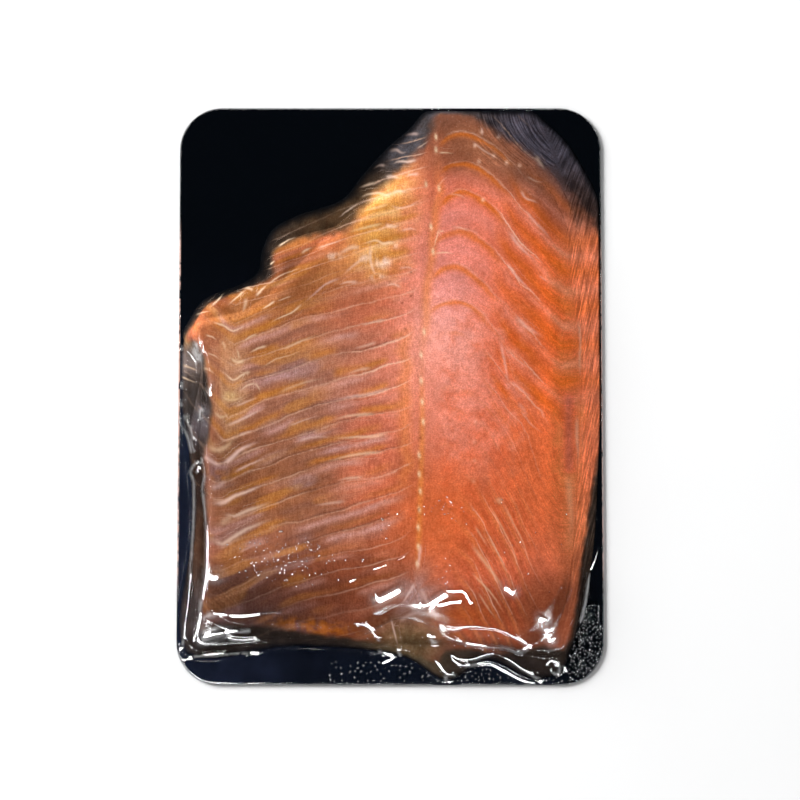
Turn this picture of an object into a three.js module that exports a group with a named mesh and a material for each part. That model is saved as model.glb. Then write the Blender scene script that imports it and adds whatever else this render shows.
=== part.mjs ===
// A vacuum skin pack of smoked trout slices, lying flat: a black card with rounded
// corners, and on it the sealed bag of clear film, drawn tight over a stack of
// three overlapping slices of a trout side. Millimetres, +Z up, +Y towards the
// narrow end of the slices. The origin is under the middle of the card, on the
// face that the pack rests on.
import * as THREE from "three";

// ---- card -----------------------------------------------------------------
const CARD_W = 150; // across
const CARD_H = 204.5; // along
const CARD_R = 15; // corner radius
const CARD_T = 0.9; // board thickness
const CARD_EASE = 0.22; // eased, rolled die-cut edge

// ---- slices under the film --------------------------------------------------
// Each slice: its thickness, the width over which its cut edge thins out at the
// card's long right side, at the top and elsewhere, and the corners of its
// outline in the order they are met going round clockwise from the top.
const SLICES = [
  {
    name: "under",
    thick: 1.7,
    thin: { right: 13, top: 16, other: 2.0 },
    corners: [
      [16, 101.3], [48, 101.3], [62, 89], [71, 68], [74.2, 50], [74.3, 0],
      [73.6, -22], [71.5, -55], [67, -80], [60, -91.5], [30, -88], [-32, -86],
      [-66, -76], [-69, -36], [-74, -5], [-74.4, 14], [-68, 28], [-50, 32],
      [-28, 52], [2, 86],
    ],
  },
  {
    name: "middle",
    thick: 1.8,
    thin: { right: 7, top: 9, other: 2.4 },
    corners: [
      [13, 101.2], [31, 101.2], [48, 89], [62, 72], [69, 45], [72, 5],
      [70, -40], [67, -72], [60, -97], [50, -100], [34, -93.5], [20, -100.6],
      [5, -92.5], [-33, -88.5], [-71.5, -91], [-69.6, -45], [-71, -16],
      [-67, 11], [-65.5, 19], [-69, 27], [-66, 34.5], [-53.5, 42], [-46, 55],
      [-23, 67], [-4.5, 84.5],
    ],
  },
  {
    name: "top",
    thick: 2.0,
    thin: { right: 5, top: 8, other: 1.6 },
    corners: [
      [15, 100], [31, 99], [48, 84], [62, 62], [68, 25], [66.5, -20],
      [63.5, -62], [57, -83], [40.5, -90.5], [20, -84], [4, -79], [-12, -86],
      [-40, -86], [-67, -86.6], [-65.8, -60], [-65.8, -30], [-67, -20],
      [-62, 0], [-59.6, 20], [-46, 38], [-38, 55], [-12, 68], [6, 91],
    ],
  },
];

// ---- film -----------------------------------------------------------------
const FILM_T = 0.12; // two plies' worth of clear film over the slices
const FILM_SLOPE = 0.95; // how steeply it tents from a slice's edge to the card
const GAP = 0.3; // bag to card
const RIM = 0.28; // thickness of the bag's welded rim
const MARGIN = 0.7; // least distance of the rim from the card's edge

// ---- resolution -------------------------------------------------------------
const CELL = 1.0; // height grid
const HUB = [8, -8]; // the bag's mesh is laid out round this point
const SPOKES = 132;
const RINGS = 30;

const clamp = (v, lo, hi) => Math.min(hi, Math.max(lo, v));
const smooth = (a, b, v) => {
  const t = clamp((v - a) / (b - a), 0, 1);
  return t * t * (3 - 2 * t);
};

// A closed smooth outline through the corners.
function outline(corners) {
  const curve = new THREE.CatmullRomCurve3(
    corners.map(([x, y]) => new THREE.Vector3(x, y, 0)),
    true,
    "centripetal",
  );
  return curve.getPoints(corners.length * 5).slice(0, -1);
}

// How far a point is inside a closed outline; negative outside.
function depthInside(loop, x, y) {
  let inside = false;
  let best = Infinity;
  for (let i = 0, j = loop.length - 1; i < loop.length; j = i++) {
    const ax = loop[j].x, ay = loop[j].y, bx = loop[i].x, by = loop[i].y;
    if (ay > y !== by > y && x < ((bx - ax) * (y - ay)) / (by - ay) + ax)
      inside = !inside;
    const dx = bx - ax, dy = by - ay;
    const t = clamp(((x - ax) * dx + (y - ay) * dy) / (dx * dx + dy * dy || 1), 0, 1);
    best = Math.min(best, Math.hypot(x - ax - t * dx, y - ay - t * dy));
  }
  return inside ? best : -best;
}

// Distance in from the card's rounded edge.
function insideCard(x, y) {
  const qx = Math.abs(x) - (CARD_W / 2 - CARD_R);
  const qy = Math.abs(y) - (CARD_H / 2 - CARD_R);
  return CARD_R - Math.hypot(Math.max(qx, 0), Math.max(qy, 0)) - Math.min(Math.max(qx, qy), 0);
}

// Width over which a slice thins out to its cut edge, at a place on the pack.
function thinning(t, x, y) {
  const right = smooth(35, 62, x) * smooth(-75, -45, y);
  const top = smooth(45, 85, y);
  return Math.max(t.other, t.right * right, t.top * top);
}

// Height of the stack of slices above the card.
const loops = SLICES.map((s) => outline(s.corners));
function stack(x, y) {
  let h = 0;
  SLICES.forEach((s, i) => {
    const d = depthInside(loops[i], x, y);
    if (d <= 0) return;
    h += s.thick * Math.pow(smooth(-0.25, 1, d / thinning(s.thin, x, y)), 0.8);
  });
  // the loin beside the backbone line stands a little higher than the belly
  const loin = Math.exp(-(((x - 30) / 34) ** 2) - ((y + 5) / 70) ** 2);
  return h * (0.93 + 0.17 * loin);
}

// The film: the stack's top, bridged down to the card at FILM_SLOPE.
const NX = Math.ceil(CARD_W / CELL) + 1;
const NY = Math.ceil(CARD_H / CELL) + 1;
const film = new Float64Array(NX * NY);
for (let j = 0; j < NY; j++)
  for (let i = 0; i < NX; i++)
    film[j * NX + i] = stack(i * CELL - CARD_W / 2, j * CELL - CARD_H / 2);
const reach = [
  [-1, 0, 1], [0, -1, 1], [-1, -1, Math.SQRT2], [1, -1, Math.SQRT2],
];
for (let pass = 0; pass < 2; pass++)
  for (const sign of [1, -1]) {
    const js = sign > 0 ? [0, NY, 1] : [NY - 1, -1, -1];
    const is = sign > 0 ? [0, NX, 1] : [NX - 1, -1, -1];
    for (let j = js[0]; j !== js[1]; j += js[2])
      for (let i = is[0]; i !== is[1]; i += is[2])
        for (const [di, dj, len] of reach) {
          const a = i + sign * di, b = j + sign * dj;
          if (a < 0 || b < 0 || a >= NX || b >= NY) continue;
          const k = j * NX + i;
          film[k] = Math.max(film[k], film[b * NX + a] - FILM_SLOPE * CELL * len);
        }
  }
function filmHeight(x, y) {
  const u = clamp((x + CARD_W / 2) / CELL, 0, NX - 1.001);
  const v = clamp((y + CARD_H / 2) / CELL, 0, NY - 1.001);
  const i = Math.floor(u), j = Math.floor(v), a = u - i, b = v - j, k = j * NX + i;
  return (
    (film[k] * (1 - a) + film[k + 1] * a) * (1 - b) +
    (film[k + NX] * (1 - a) + film[k + NX + 1] * a) * b
  );
}

// ---- card geometry ----------------------------------------------------------
function cardGeometry() {
  const w = CARD_W / 2, h = CARD_H / 2, r = CARD_R;
  const s = new THREE.Shape();
  s.moveTo(-w + r, -h);
  s.lineTo(w - r, -h);
  s.absarc(w - r, -h + r, r, -Math.PI / 2, 0);
  s.lineTo(w, h - r);
  s.absarc(w - r, h - r, r, 0, Math.PI / 2);
  s.lineTo(-w + r, h);
  s.absarc(-w + r, h - r, r, Math.PI / 2, Math.PI);
  s.lineTo(-w, -h + r);
  s.absarc(-w + r, -h + r, r, Math.PI, 1.5 * Math.PI);
  const g = new THREE.ExtrudeGeometry(s, {
    depth: CARD_T - 2 * CARD_EASE,
    bevelEnabled: true,
    bevelThickness: CARD_EASE,
    bevelSize: CARD_EASE,
    bevelOffset: -CARD_EASE,
    bevelSegments: 2,
    curveSegments: 14,
  });
  g.translate(0, 0, CARD_EASE);
  return g;
}

// ---- the sealed bag: film drawn over the slices --------------------------------
function bagGeometry() {
  const floor = CARD_T + GAP;
  const points = [];
  const top = (k, j) => 1 + (j - 1) * SPOKES + (k % SPOKES);
  const radius = [];
  for (let k = 0; k < SPOKES; k++) {
    const a = (2 * Math.PI * k) / SPOKES;
    const dx = Math.cos(a), dy = Math.sin(a);
    let r = 20;
    while (
      insideCard(HUB[0] + dx * r, HUB[1] + dy * r) > MARGIN &&
      filmHeight(HUB[0] + dx * r, HUB[1] + dy * r) > RIM * 0.6
    )
      r += 0.2;
    radius.push(r - 0.2);
  }
  const z = (x, y, rim) =>
    floor + Math.max(RIM, rim ? RIM : filmHeight(x, y) + FILM_T - GAP);
  points.push([HUB[0], HUB[1], z(HUB[0], HUB[1], false)]);
  for (let j = 1; j <= RINGS; j++) {
    const f = 1 - Math.pow(1 - j / RINGS, 1.35);
    for (let k = 0; k < SPOKES; k++) {
      const a = (2 * Math.PI * k) / SPOKES;
      const x = HUB[0] + Math.cos(a) * radius[k] * f;
      const y = HUB[1] + Math.sin(a) * radius[k] * f;
      points.push([x, y, z(x, y, j === RINGS)]);
    }
  }
  const base = points.length;
  for (let k = 0; k < SPOKES; k++) {
    const [x, y] = points[top(k, RINGS)];
    points.push([x, y, floor]);
  }
  points.push([HUB[0], HUB[1], floor]);
  const faces = [];
  for (let k = 0; k < SPOKES; k++) {
    faces.push(0, top(k, 1), top(k + 1, 1));
    for (let j = 1; j < RINGS; j++) {
      const a = top(k, j), b = top(k + 1, j), c = top(k + 1, j + 1), d = top(k, j + 1);
      faces.push(a, d, c, a, c, b);
    }
    const a = top(k, RINGS), b = top(k + 1, RINGS);
    const c = base + ((k + 1) % SPOKES), d = base + k;
    faces.push(a, d, c, a, c, b);
    faces.push(base + SPOKES, c, d);
  }
  const g = new THREE.BufferGeometry();
  g.setAttribute("position", new THREE.Float32BufferAttribute(points.flat(), 3));
  g.setIndex(faces);
  g.computeVertexNormals();
  return g;
}

const pack = new THREE.Group();

const card = new THREE.Mesh(
  cardGeometry(),
  new THREE.MeshStandardMaterial({ color: 0x07080c, roughness: 0.3, metalness: 0 }),
);
card.name = "card";
pack.add(card);

const bag = new THREE.Mesh(
  bagGeometry(),
  new THREE.MeshStandardMaterial({ color: 0xd9774f, roughness: 0.12, metalness: 0 }),
);
bag.name = "film_bag";
pack.add(bag);

export default pack;
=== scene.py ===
# A vacuum skin pack of smoked trout slices, lying flat: a black card with rounded
# corners, three overlapping slices of a trout side, and clear film drawn tight over them.
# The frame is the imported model's, in metres, with +Z up and +Y along the card towards
# the slices' narrow end. Shapes are worked out here in millimetres.
import bpy
import math
import numpy as np
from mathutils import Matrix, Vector
from mathutils.geometry import delaunay_2d_cdt


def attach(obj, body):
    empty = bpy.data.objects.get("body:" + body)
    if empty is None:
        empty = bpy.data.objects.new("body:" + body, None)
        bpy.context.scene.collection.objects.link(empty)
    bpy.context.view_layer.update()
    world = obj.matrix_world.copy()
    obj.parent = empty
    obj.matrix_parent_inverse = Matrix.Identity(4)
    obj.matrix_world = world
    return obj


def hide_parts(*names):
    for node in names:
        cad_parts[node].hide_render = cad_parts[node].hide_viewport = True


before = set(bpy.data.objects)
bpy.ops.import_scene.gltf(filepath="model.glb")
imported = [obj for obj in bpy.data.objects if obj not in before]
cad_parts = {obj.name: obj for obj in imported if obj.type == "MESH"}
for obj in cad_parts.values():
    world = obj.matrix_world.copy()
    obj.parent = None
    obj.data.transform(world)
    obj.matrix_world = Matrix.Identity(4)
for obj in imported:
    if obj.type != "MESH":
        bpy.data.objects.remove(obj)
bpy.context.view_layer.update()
MM = 0.001

# ---------------------------------------------------------------- small maths
def clamp(v, a=0.0, b=1.0):
    return np.minimum(np.maximum(v, a), b)


def smooth(a, b, v):
    t = clamp((v - a) / (b - a))
    return t * t * (3 - 2 * t)


def bump(v, mid, half):
    return np.exp(-(((v - mid) / half) ** 2))


def mixc(c, tone, w):
    w = clamp(w)[..., None]
    return c * (1 - w) + np.asarray(tone, float) * w


def spline(knots, q):
    """A smooth curve through (q, value) knots, held level past its ends."""
    k = np.asarray(knots, float)
    x, y = k[:, 0], k[:, 1]
    s = np.gradient(y, x)
    q = clamp(q, x[0], x[-1])
    i = clamp(np.searchsorted(x, q) - 1, 0, len(x) - 2).astype(int)
    h = x[i + 1] - x[i]
    t = (q - x[i]) / h
    return ((2 * t**3 - 3 * t**2 + 1) * y[i] + (t**3 - 2 * t**2 + t) * h * s[i]
            + (-2 * t**3 + 3 * t**2) * y[i + 1] + (t**3 - t**2) * h * s[i + 1])


_LATTICE = np.random.default_rng(41).random((16, 128, 128))


def vnoise(x, y, seed=0):
    """Smooth value noise from 0 to 1 with features about one unit wide."""
    L = _LATTICE[seed % 16]
    x = np.asarray(x, float) + 17.3 * seed
    y = np.asarray(y, float) + 5.1 * seed
    i, j = np.floor(x).astype(int), np.floor(y).astype(int)
    a, b = x - i, y - j
    a, b = a * a * (3 - 2 * a), b * b * (3 - 2 * b)
    i0, i1, j0, j1 = i % 128, (i + 1) % 128, j % 128, (j + 1) % 128
    return ((L[i0, j0] * (1 - a) + L[i1, j0] * a) * (1 - b)
            + (L[i0, j1] * (1 - a) + L[i1, j1] * a) * b)


def fbm(x, y, seed=0, octaves=3):
    total, amp, f, norm = 0.0, 1.0, 1.0, 0.0
    for o in range(octaves):
        total = total + amp * vnoise(x * f, y * f, seed + o)
        norm += amp
        amp, f = amp * 0.5, f * 2.03
    return total / norm


def hash1(n, seed=0):
    """A steady random number from 0 to 1 for each whole number."""
    h = np.sin(np.asarray(n, float) * 127.1 + seed * 311.7) * 43758.5453
    return h - np.floor(h)


# ---------------------------------------------------------------- the flesh's own coordinates
# Drawing units: 0.3552 mm each, u across to the right, v down the pack.
MIDLINE = [(60, 437), (130, 434), (189, 437), (240, 431), (300, 426), (350, 422), (430, 422),
           (530, 419), (560, 418), (590, 415), (640, 411), (700, 407)]
# how far a flake's edge drops from the pin-bone row out to the belly's edge
BELLY_DROP = [(-14, -20), (0, -17), (20, -7), (41, 0), (81, 9), (121, 20), (141, 27), (181, 42), (193, 47)]
NARROW_DROP = [(-14, -14), (0, -11), (20, -4), (41, 0), (60, 4), (81, 11), (121, 30), (161, 51), (193, 68)]
LEFT_EDGES = [60, 78, 95, 112, 128, 144, 161, 178, 195, 212, 227, 246, 264, 281, 303, 325, 348, 372,
              395, 418, 438, 456, 479, 503, 526, 547, 566, 587, 608, 629, 650, 671, 692, 713]
# the same on the back side: a crest beside the midline, then a long fall to the right
BACK_UPPER = [(0, -46), (14, -56), (28, -60), (45, -54), (62, -42), (76, -26), (84, -15), (104, 4), (124, 22), (140, 34)]
BACK_LOWER = [(0, -96), (14, -92), (30, -84), (45, -70), (56, -58), (72, -30), (90, 2), (106, 34), (122, 62), (140, 84)]
RIGHT_EDGES = [10, 40, 72, 100, 130, 162, 190, 222, 254, 290, 328, 362, 394, 424, 448, 472, 496, 520,
               545, 570, 597, 622, 648, 674, 700, 730, 760]


def midline(v):
    return spline(MIDLINE, v)


def belly_vertex(v):
    """Where the belly's flake edges turn back up, in units."""
    return spline([(60, 236), (334, 236), (384, 234), (430, 228), (467, 219), (508, 215), (600, 212), (700, 212)], v)


def left_flake(u, v):
    t = midline(v) - u
    turn = belly_vertex(v)
    past = clamp(turn - u, 0, 200)
    narrow = smooth(310, 240, v)
    s = spline(BELLY_DROP, t) * (1 - narrow) + spline(NARROW_DROP, t) * narrow
    s = s - past * 0.95
    e = np.asarray(LEFT_EDGES, float)
    w = v - s + 2.2 * (vnoise(u / 34, v / 22, 3) - 0.5) * 2
    return np.interp(w, e, np.arange(len(e)))


def right_flake(u, v):
    t = u - midline(v)
    low = smooth(395, 500, v)
    s = spline(BACK_UPPER, t) * (1 - low) + spline(BACK_LOWER, t) * low
    e = np.asarray(RIGHT_EDGES, float)
    w = v - s + 2.0 * (vnoise(u / 30, v / 26, 5) - 0.5) * 2
    return np.interp(w, e, np.arange(len(e))) + 40


def back_vertex(v):
    """Where the back's flake edges end at the fine dorsal streaks."""
    return spline([(60, 520), (110, 535), (155, 552), (210, 556), (300, 558), (380, 560), (450, 560), (520, 556),
                   (600, 552), (700, 545)], v)


# ---------------------------------------------------------------- tones, as seen (sRGB 0-255)
TONE = {
    "coral": (228, 120, 88),
    "salmon": (236, 142, 116),
    "pink": (245, 168, 152),
    "lilac pink": (238, 160, 158),
    "orange": (214, 104, 54),
    "deep orange": (196, 90, 42),
    "amber": (196, 122, 62),
    "gold": (238, 176, 98),
    "yellow": (240, 176, 62),
    "straw": (214, 166, 124),
    "mauve": (170, 116, 96),
    "umber": (150, 96, 68),
    "brown": (104, 68, 58),
    "dark brown": (62, 45, 44),
    "rust": (138, 72, 46),
    "film grey": (64, 60, 68),
    "septum": (238, 196, 176),
    "fat": (246, 214, 160),
}

# broad tints laid over each other in order: tone, centre, half sizes, turn in degrees, strength
TINTS = [
    ("umber", 288, 452, 116, 190, -8, 0.95),
    ("mauve", 330, 392, 74, 54, -16, 0.75),
    ("mauve", 268, 342, 48, 36, 0, 0.35),
    ("mauve", 300, 540, 70, 34, -10, 0.30),
    ("amber", 286, 288, 92, 38, -28, 0.62),
    ("rust", 292, 262, 50, 20, -28, 0.50),
    ("amber", 240, 318, 34, 24, 0, 0.50),
    ("rust", 214, 302, 24, 14, -30, 0.70),
    ("gold", 386, 216, 32, 62, 12, 0.80),
    ("yellow", 372, 222, 18, 32, 12, 0.30),
    ("gold", 352, 266, 40, 17, -25, 0.30),
    ("salmon", 414, 250, 16, 60, 4, 0.65),
    ("straw", 232, 392, 18, 56, 4, 0.60),
    ("straw", 222, 500, 18, 36, 4, 0.22),
    ("coral", 374, 450, 38, 78, 0, 0.70),
    ("salmon", 400, 372, 24, 60, 0, 0.60),
    ("amber", 268, 500, 44, 30, -12, 0.20),
    ("brown", 244, 598, 112, 34, 6, 0.95),
    ("brown", 350, 600, 60, 40, 6, 0.35),
    ("rust", 350, 588, 72, 50, 0, 0.85),
    ("dark brown", 232, 640, 120, 28, 2, 0.96),
    ("rust", 330, 640, 44, 12, -2, 0.60),
    ("pink", 444, 346, 40, 66, 0, 0.95),
    ("lilac pink", 452, 262, 34, 60, 0, 0.42),
    ("salmon", 446, 412, 42, 56, 0, 0.65),
    ("orange", 450, 522, 62, 54, 0, 0.80),
    ("deep orange", 545, 320, 30, 110, -4, 0.62),
    ("orange", 540, 480, 42, 80, 0, 0.72),
    ("coral", 510, 262, 44, 60, 10, 0.25),
    ("rust", 470, 118, 120, 34, 4, 0.97),
    ("brown", 446, 114, 70, 18, 0, 0.75),
    ("umber", 510, 158, 84, 34, 26, 0.80),
    ("brown", 548, 176, 60, 30, 40, 0.50),
    ("umber", 462, 160, 50, 18, 0, 0.45),
    ("umber", 576, 240, 20, 40, 10, 0.35),
    ("umber", 598, 350, 12, 230, 0, 0.25),
    ("amber", 578, 560, 20, 80, 0, 0.30),
    ("rust", 552, 612, 56, 42, -10, 0.95),
    ("rust", 480, 628, 110, 36, 0, 0.97),
    ("brown", 480, 654, 110, 20, 0, 0.60),
    ("rust", 384, 630, 40, 30, 0, 0.60),
]


def tints(u, v):
    c = np.zeros(np.shape(u) + (3,)) + np.asarray(TONE["coral"], float)
    for tone, cu, cv, ru, rv, turn, w in TINTS:
        a = np.radians(turn)
        du, dv = u - cu, v - cv
        x = (du * np.cos(a) + dv * np.sin(a)) / ru
        y = (-du * np.sin(a) + dv * np.cos(a)) / rv
        r2 = x * x + y * y
        c = mixc(c, TONE[tone], w * np.exp(-(r2 ** 1.5) * 0.9))
    return c


# ---------------------------------------------------------------- outlines of the three slices, mm
UNIT = 0.3552
OUT_UNDER = [(16, 101.3), (50, 101.3), (56.5, 96.3), (63, 89.8), (69.4, 79.5), (74, 69), (74.3, 58), (74.3, 0), (73.6, -22), (71.5, -55), (67, -80),
             (60, -91.5), (30, -88), (-32, -86), (-66, -76), (-68, -36), (-74, -5), (-74.4, 14), (-70, 24), (-50, 30),
             (-28, 50), (2, 84)]
OUT_MIDDLE = [(13, 101.2), (31, 101.2), (48, 89), (62, 72), (69, 45), (72, 5), (70, -40), (67, -72), (60, -97),
              (50, -100), (34, -93.5), (20, -100.6), (5, -92.5), (-33, -88.5), (-71.5, -91), (-69.6, -45), (-71, -16),
              (-67, 11), (-70, 14), (-73.6, 20.5), (-70.6, 27.5), (-66, 33.6), (-52, 39.6), (-47, 43.5), (-45.6, 51), (-42, 58.5),
              (-33.5, 63.5), (-17, 69.5), (-10, 78), (-1, 88), (7, 95)]
OUT_TOP = [(15, 100), (31, 99), (48, 84), (62, 62), (68, 25), (66.5, -20), (63.5, -62), (57, -83), (40.5, -90.5),
           (20, -84), (4, -79), (-12, -86), (-40, -86), (-67, -86.6), (-65.8, -60), (-65.8, -30), (-67.2, -20), (-66, 0),
           (-66.8, 12), (-70, 20), (-68.6, 26.5), (-64, 32.3), (-52, 37.6), (-45, 40.6), (-43, 45), (-42, 51), (-31, 56.5), (-18, 60.5), (-10.5, 70), (0, 81), (9, 91.5)]


def closed_spline(corners, per=6):
    """Centripetal Catmull-Rom curve through the corners, closed."""
    p = np.asarray(corners, float)
    n = len(p)
    out = []
    for i in range(n):
        a, b, c, d = p[i - 1], p[i], p[(i + 1) % n], p[(i + 2) % n]
        t0 = 0.0
        t1 = t0 + np.hypot(*(b - a)) ** 0.5
        t2 = t1 + np.hypot(*(c - b)) ** 0.5
        t3 = t2 + np.hypot(*(d - c)) ** 0.5
        t = (t1 + (t2 - t1) * np.arange(per) / per)[:, None]
        a1 = (t1 - t) / (t1 - t0) * a + (t - t0) / (t1 - t0) * b
        a2 = (t2 - t) / (t2 - t1) * b + (t - t1) / (t2 - t1) * c
        a3 = (t3 - t) / (t3 - t2) * c + (t - t2) / (t3 - t2) * d
        b1 = (t2 - t) / (t2 - t0) * a1 + (t - t0) / (t2 - t0) * a2
        b2 = (t3 - t) / (t3 - t1) * a2 + (t - t1) / (t3 - t1) * a3
        out.append((t2 - t) / (t2 - t1) * b1 + (t - t1) / (t2 - t1) * b2)
    return np.concatenate(out)


def depth_inside(loop, x, y):
    """Distance in from a closed outline, negative outside."""
    shape = np.shape(x)
    x, y = np.ravel(x).astype(float), np.ravel(y).astype(float)
    best = np.full(x.shape, 1e9)
    odd = np.zeros(x.shape, bool)
    nxt = np.roll(loop, -1, 0)
    for (ax, ay), (bx, by) in zip(loop, nxt):
        dx, dy = bx - ax, by - ay
        t = clamp(((x - ax) * dx + (y - ay) * dy) / max(dx * dx + dy * dy, 1e-12))
        best = np.minimum(best, (x - ax - t * dx) ** 2 + (y - ay - t * dy) ** 2)
        if ay != by:
            odd ^= ((ay > y) != (by > y)) & (x < (bx - ax) * (y - ay) / (by - ay) + ax)
    best = np.sqrt(best)
    return np.where(odd, best, -best).reshape(shape)


def near_path(path, u, v, reach):
    """(distance to a polyline, 0 to 1 along it), only looked at within reach."""
    u, v = np.asarray(u, float), np.asarray(v, float)
    p = np.asarray(path, float)
    d = np.full(u.shape, 1e3)
    s = np.zeros(u.shape)
    box = ((u > p[:, 0].min() - reach) & (u < p[:, 0].max() + reach)
           & (v > p[:, 1].min() - reach) & (v < p[:, 1].max() + reach))
    if not box.any():
        return d, s
    uu, vv = u[box], v[box]
    run = np.concatenate([[0], np.cumsum(np.hypot(*np.diff(p, axis=0).T))])
    best, at = np.full(uu.shape, 1e3), np.zeros(uu.shape)
    for i in range(len(p) - 1):
        (ax, ay), (bx, by) = p[i], p[i + 1]
        dx, dy = bx - ax, by - ay
        t = clamp(((uu - ax) * dx + (vv - ay) * dy) / max(dx * dx + dy * dy, 1e-12))
        e = np.hypot(uu - ax - t * dx, vv - ay - t * dy)
        closer = e < best
        best = np.where(closer, e, best)
        at = np.where(closer, run[i] + t * (run[i + 1] - run[i]), at)
    d[box] = best
    s[box] = at / run[-1]
    return d, s


def side_of(path, u, v, reach):
    """(signed distance to a polyline, 0 to 1 along it), only looked at within reach."""
    u, v = np.asarray(u, float), np.asarray(v, float)
    p = np.asarray(path, float)
    d, s = np.full(u.shape, 1e3), np.zeros(u.shape)
    box = ((u > p[:, 0].min() - reach) & (u < p[:, 0].max() + reach)
           & (v > p[:, 1].min() - reach) & (v < p[:, 1].max() + reach))
    if not box.any():
        return d, s
    uu, vv = u[box], v[box]
    run = np.concatenate([[0], np.cumsum(np.hypot(*np.diff(p, axis=0).T))])
    best, sign, at = np.full(uu.shape, 1e3), np.ones(uu.shape), np.zeros(uu.shape)
    for i in range(len(p) - 1):
        (ax, ay), (bx, by) = p[i], p[i + 1]
        dx, dy = bx - ax, by - ay
        t = clamp(((uu - ax) * dx + (vv - ay) * dy) / max(dx * dx + dy * dy, 1e-12))
        e = np.hypot(uu - ax - t * dx, vv - ay - t * dy)
        closer = e < best
        best = np.where(closer, e, best)
        sign = np.where(closer, np.where(dx * (vv - ay) - dy * (uu - ax) < 0, -1.0, 1.0), sign)
        at = np.where(closer, run[i] + t * (run[i + 1] - run[i]), at)
    d[box] = best * sign
    s[box] = at / run[-1]
    return d, s


def line_of(points, n=12):
    """A smooth open curve through a few points."""
    p = np.asarray(points, float)
    if len(p) < 3:
        return p
    run = np.concatenate([[0], np.cumsum(np.hypot(*np.diff(p, axis=0).T))])
    q = np.linspace(0, run[-1], n * (len(p) - 1) + 1)
    return np.stack([spline(np.stack([run, p[:, k]], 1), q) for k in (0, 1)], 1)


# ---------------------------------------------------------------- painting the flesh
LOOPS = [clamp(closed_spline(o), (-74.2, -101.4), (74.3, 101.3)) for o in (OUT_UNDER, OUT_MIDDLE, OUT_TOP)]
THIN = [dict(right=20, top=18, other=2.6, shoulder=5), dict(right=17, top=15, other=3.0, shoulder=7),
        dict(right=16, top=14, other=3.2, shoulder=6)]
FADE = [dict(right=0.6, top=4, other=2.5), dict(right=3, top=6, other=3.5), dict(right=4, top=7, other=2.6)]
THICK = [1.7, 1.8, 2.0]

TICKS = [(437, 138), (437, 151), (427, 186), (440, 190), (432, 229), (434, 254), (425, 335), (422, 358), (422, 384),
         (423, 405), (424, 425), (420, 458), (420, 477), (421, 494), (420, 512), (419, 530), (419, 549), (418, 566)]
SIDE_TICKS = [(483, 133), (500, 138), (476, 147), (495, 157), (508, 164), (521, 167), (484, 202), (480, 163),
              (476, 425), (475, 445), (475, 463), (474, 484)]
PINHOLES = [(412, 275), (412, 299), (403, 306), (406, 332), (231, 321), (421, 441), (419, 512)]
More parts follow.
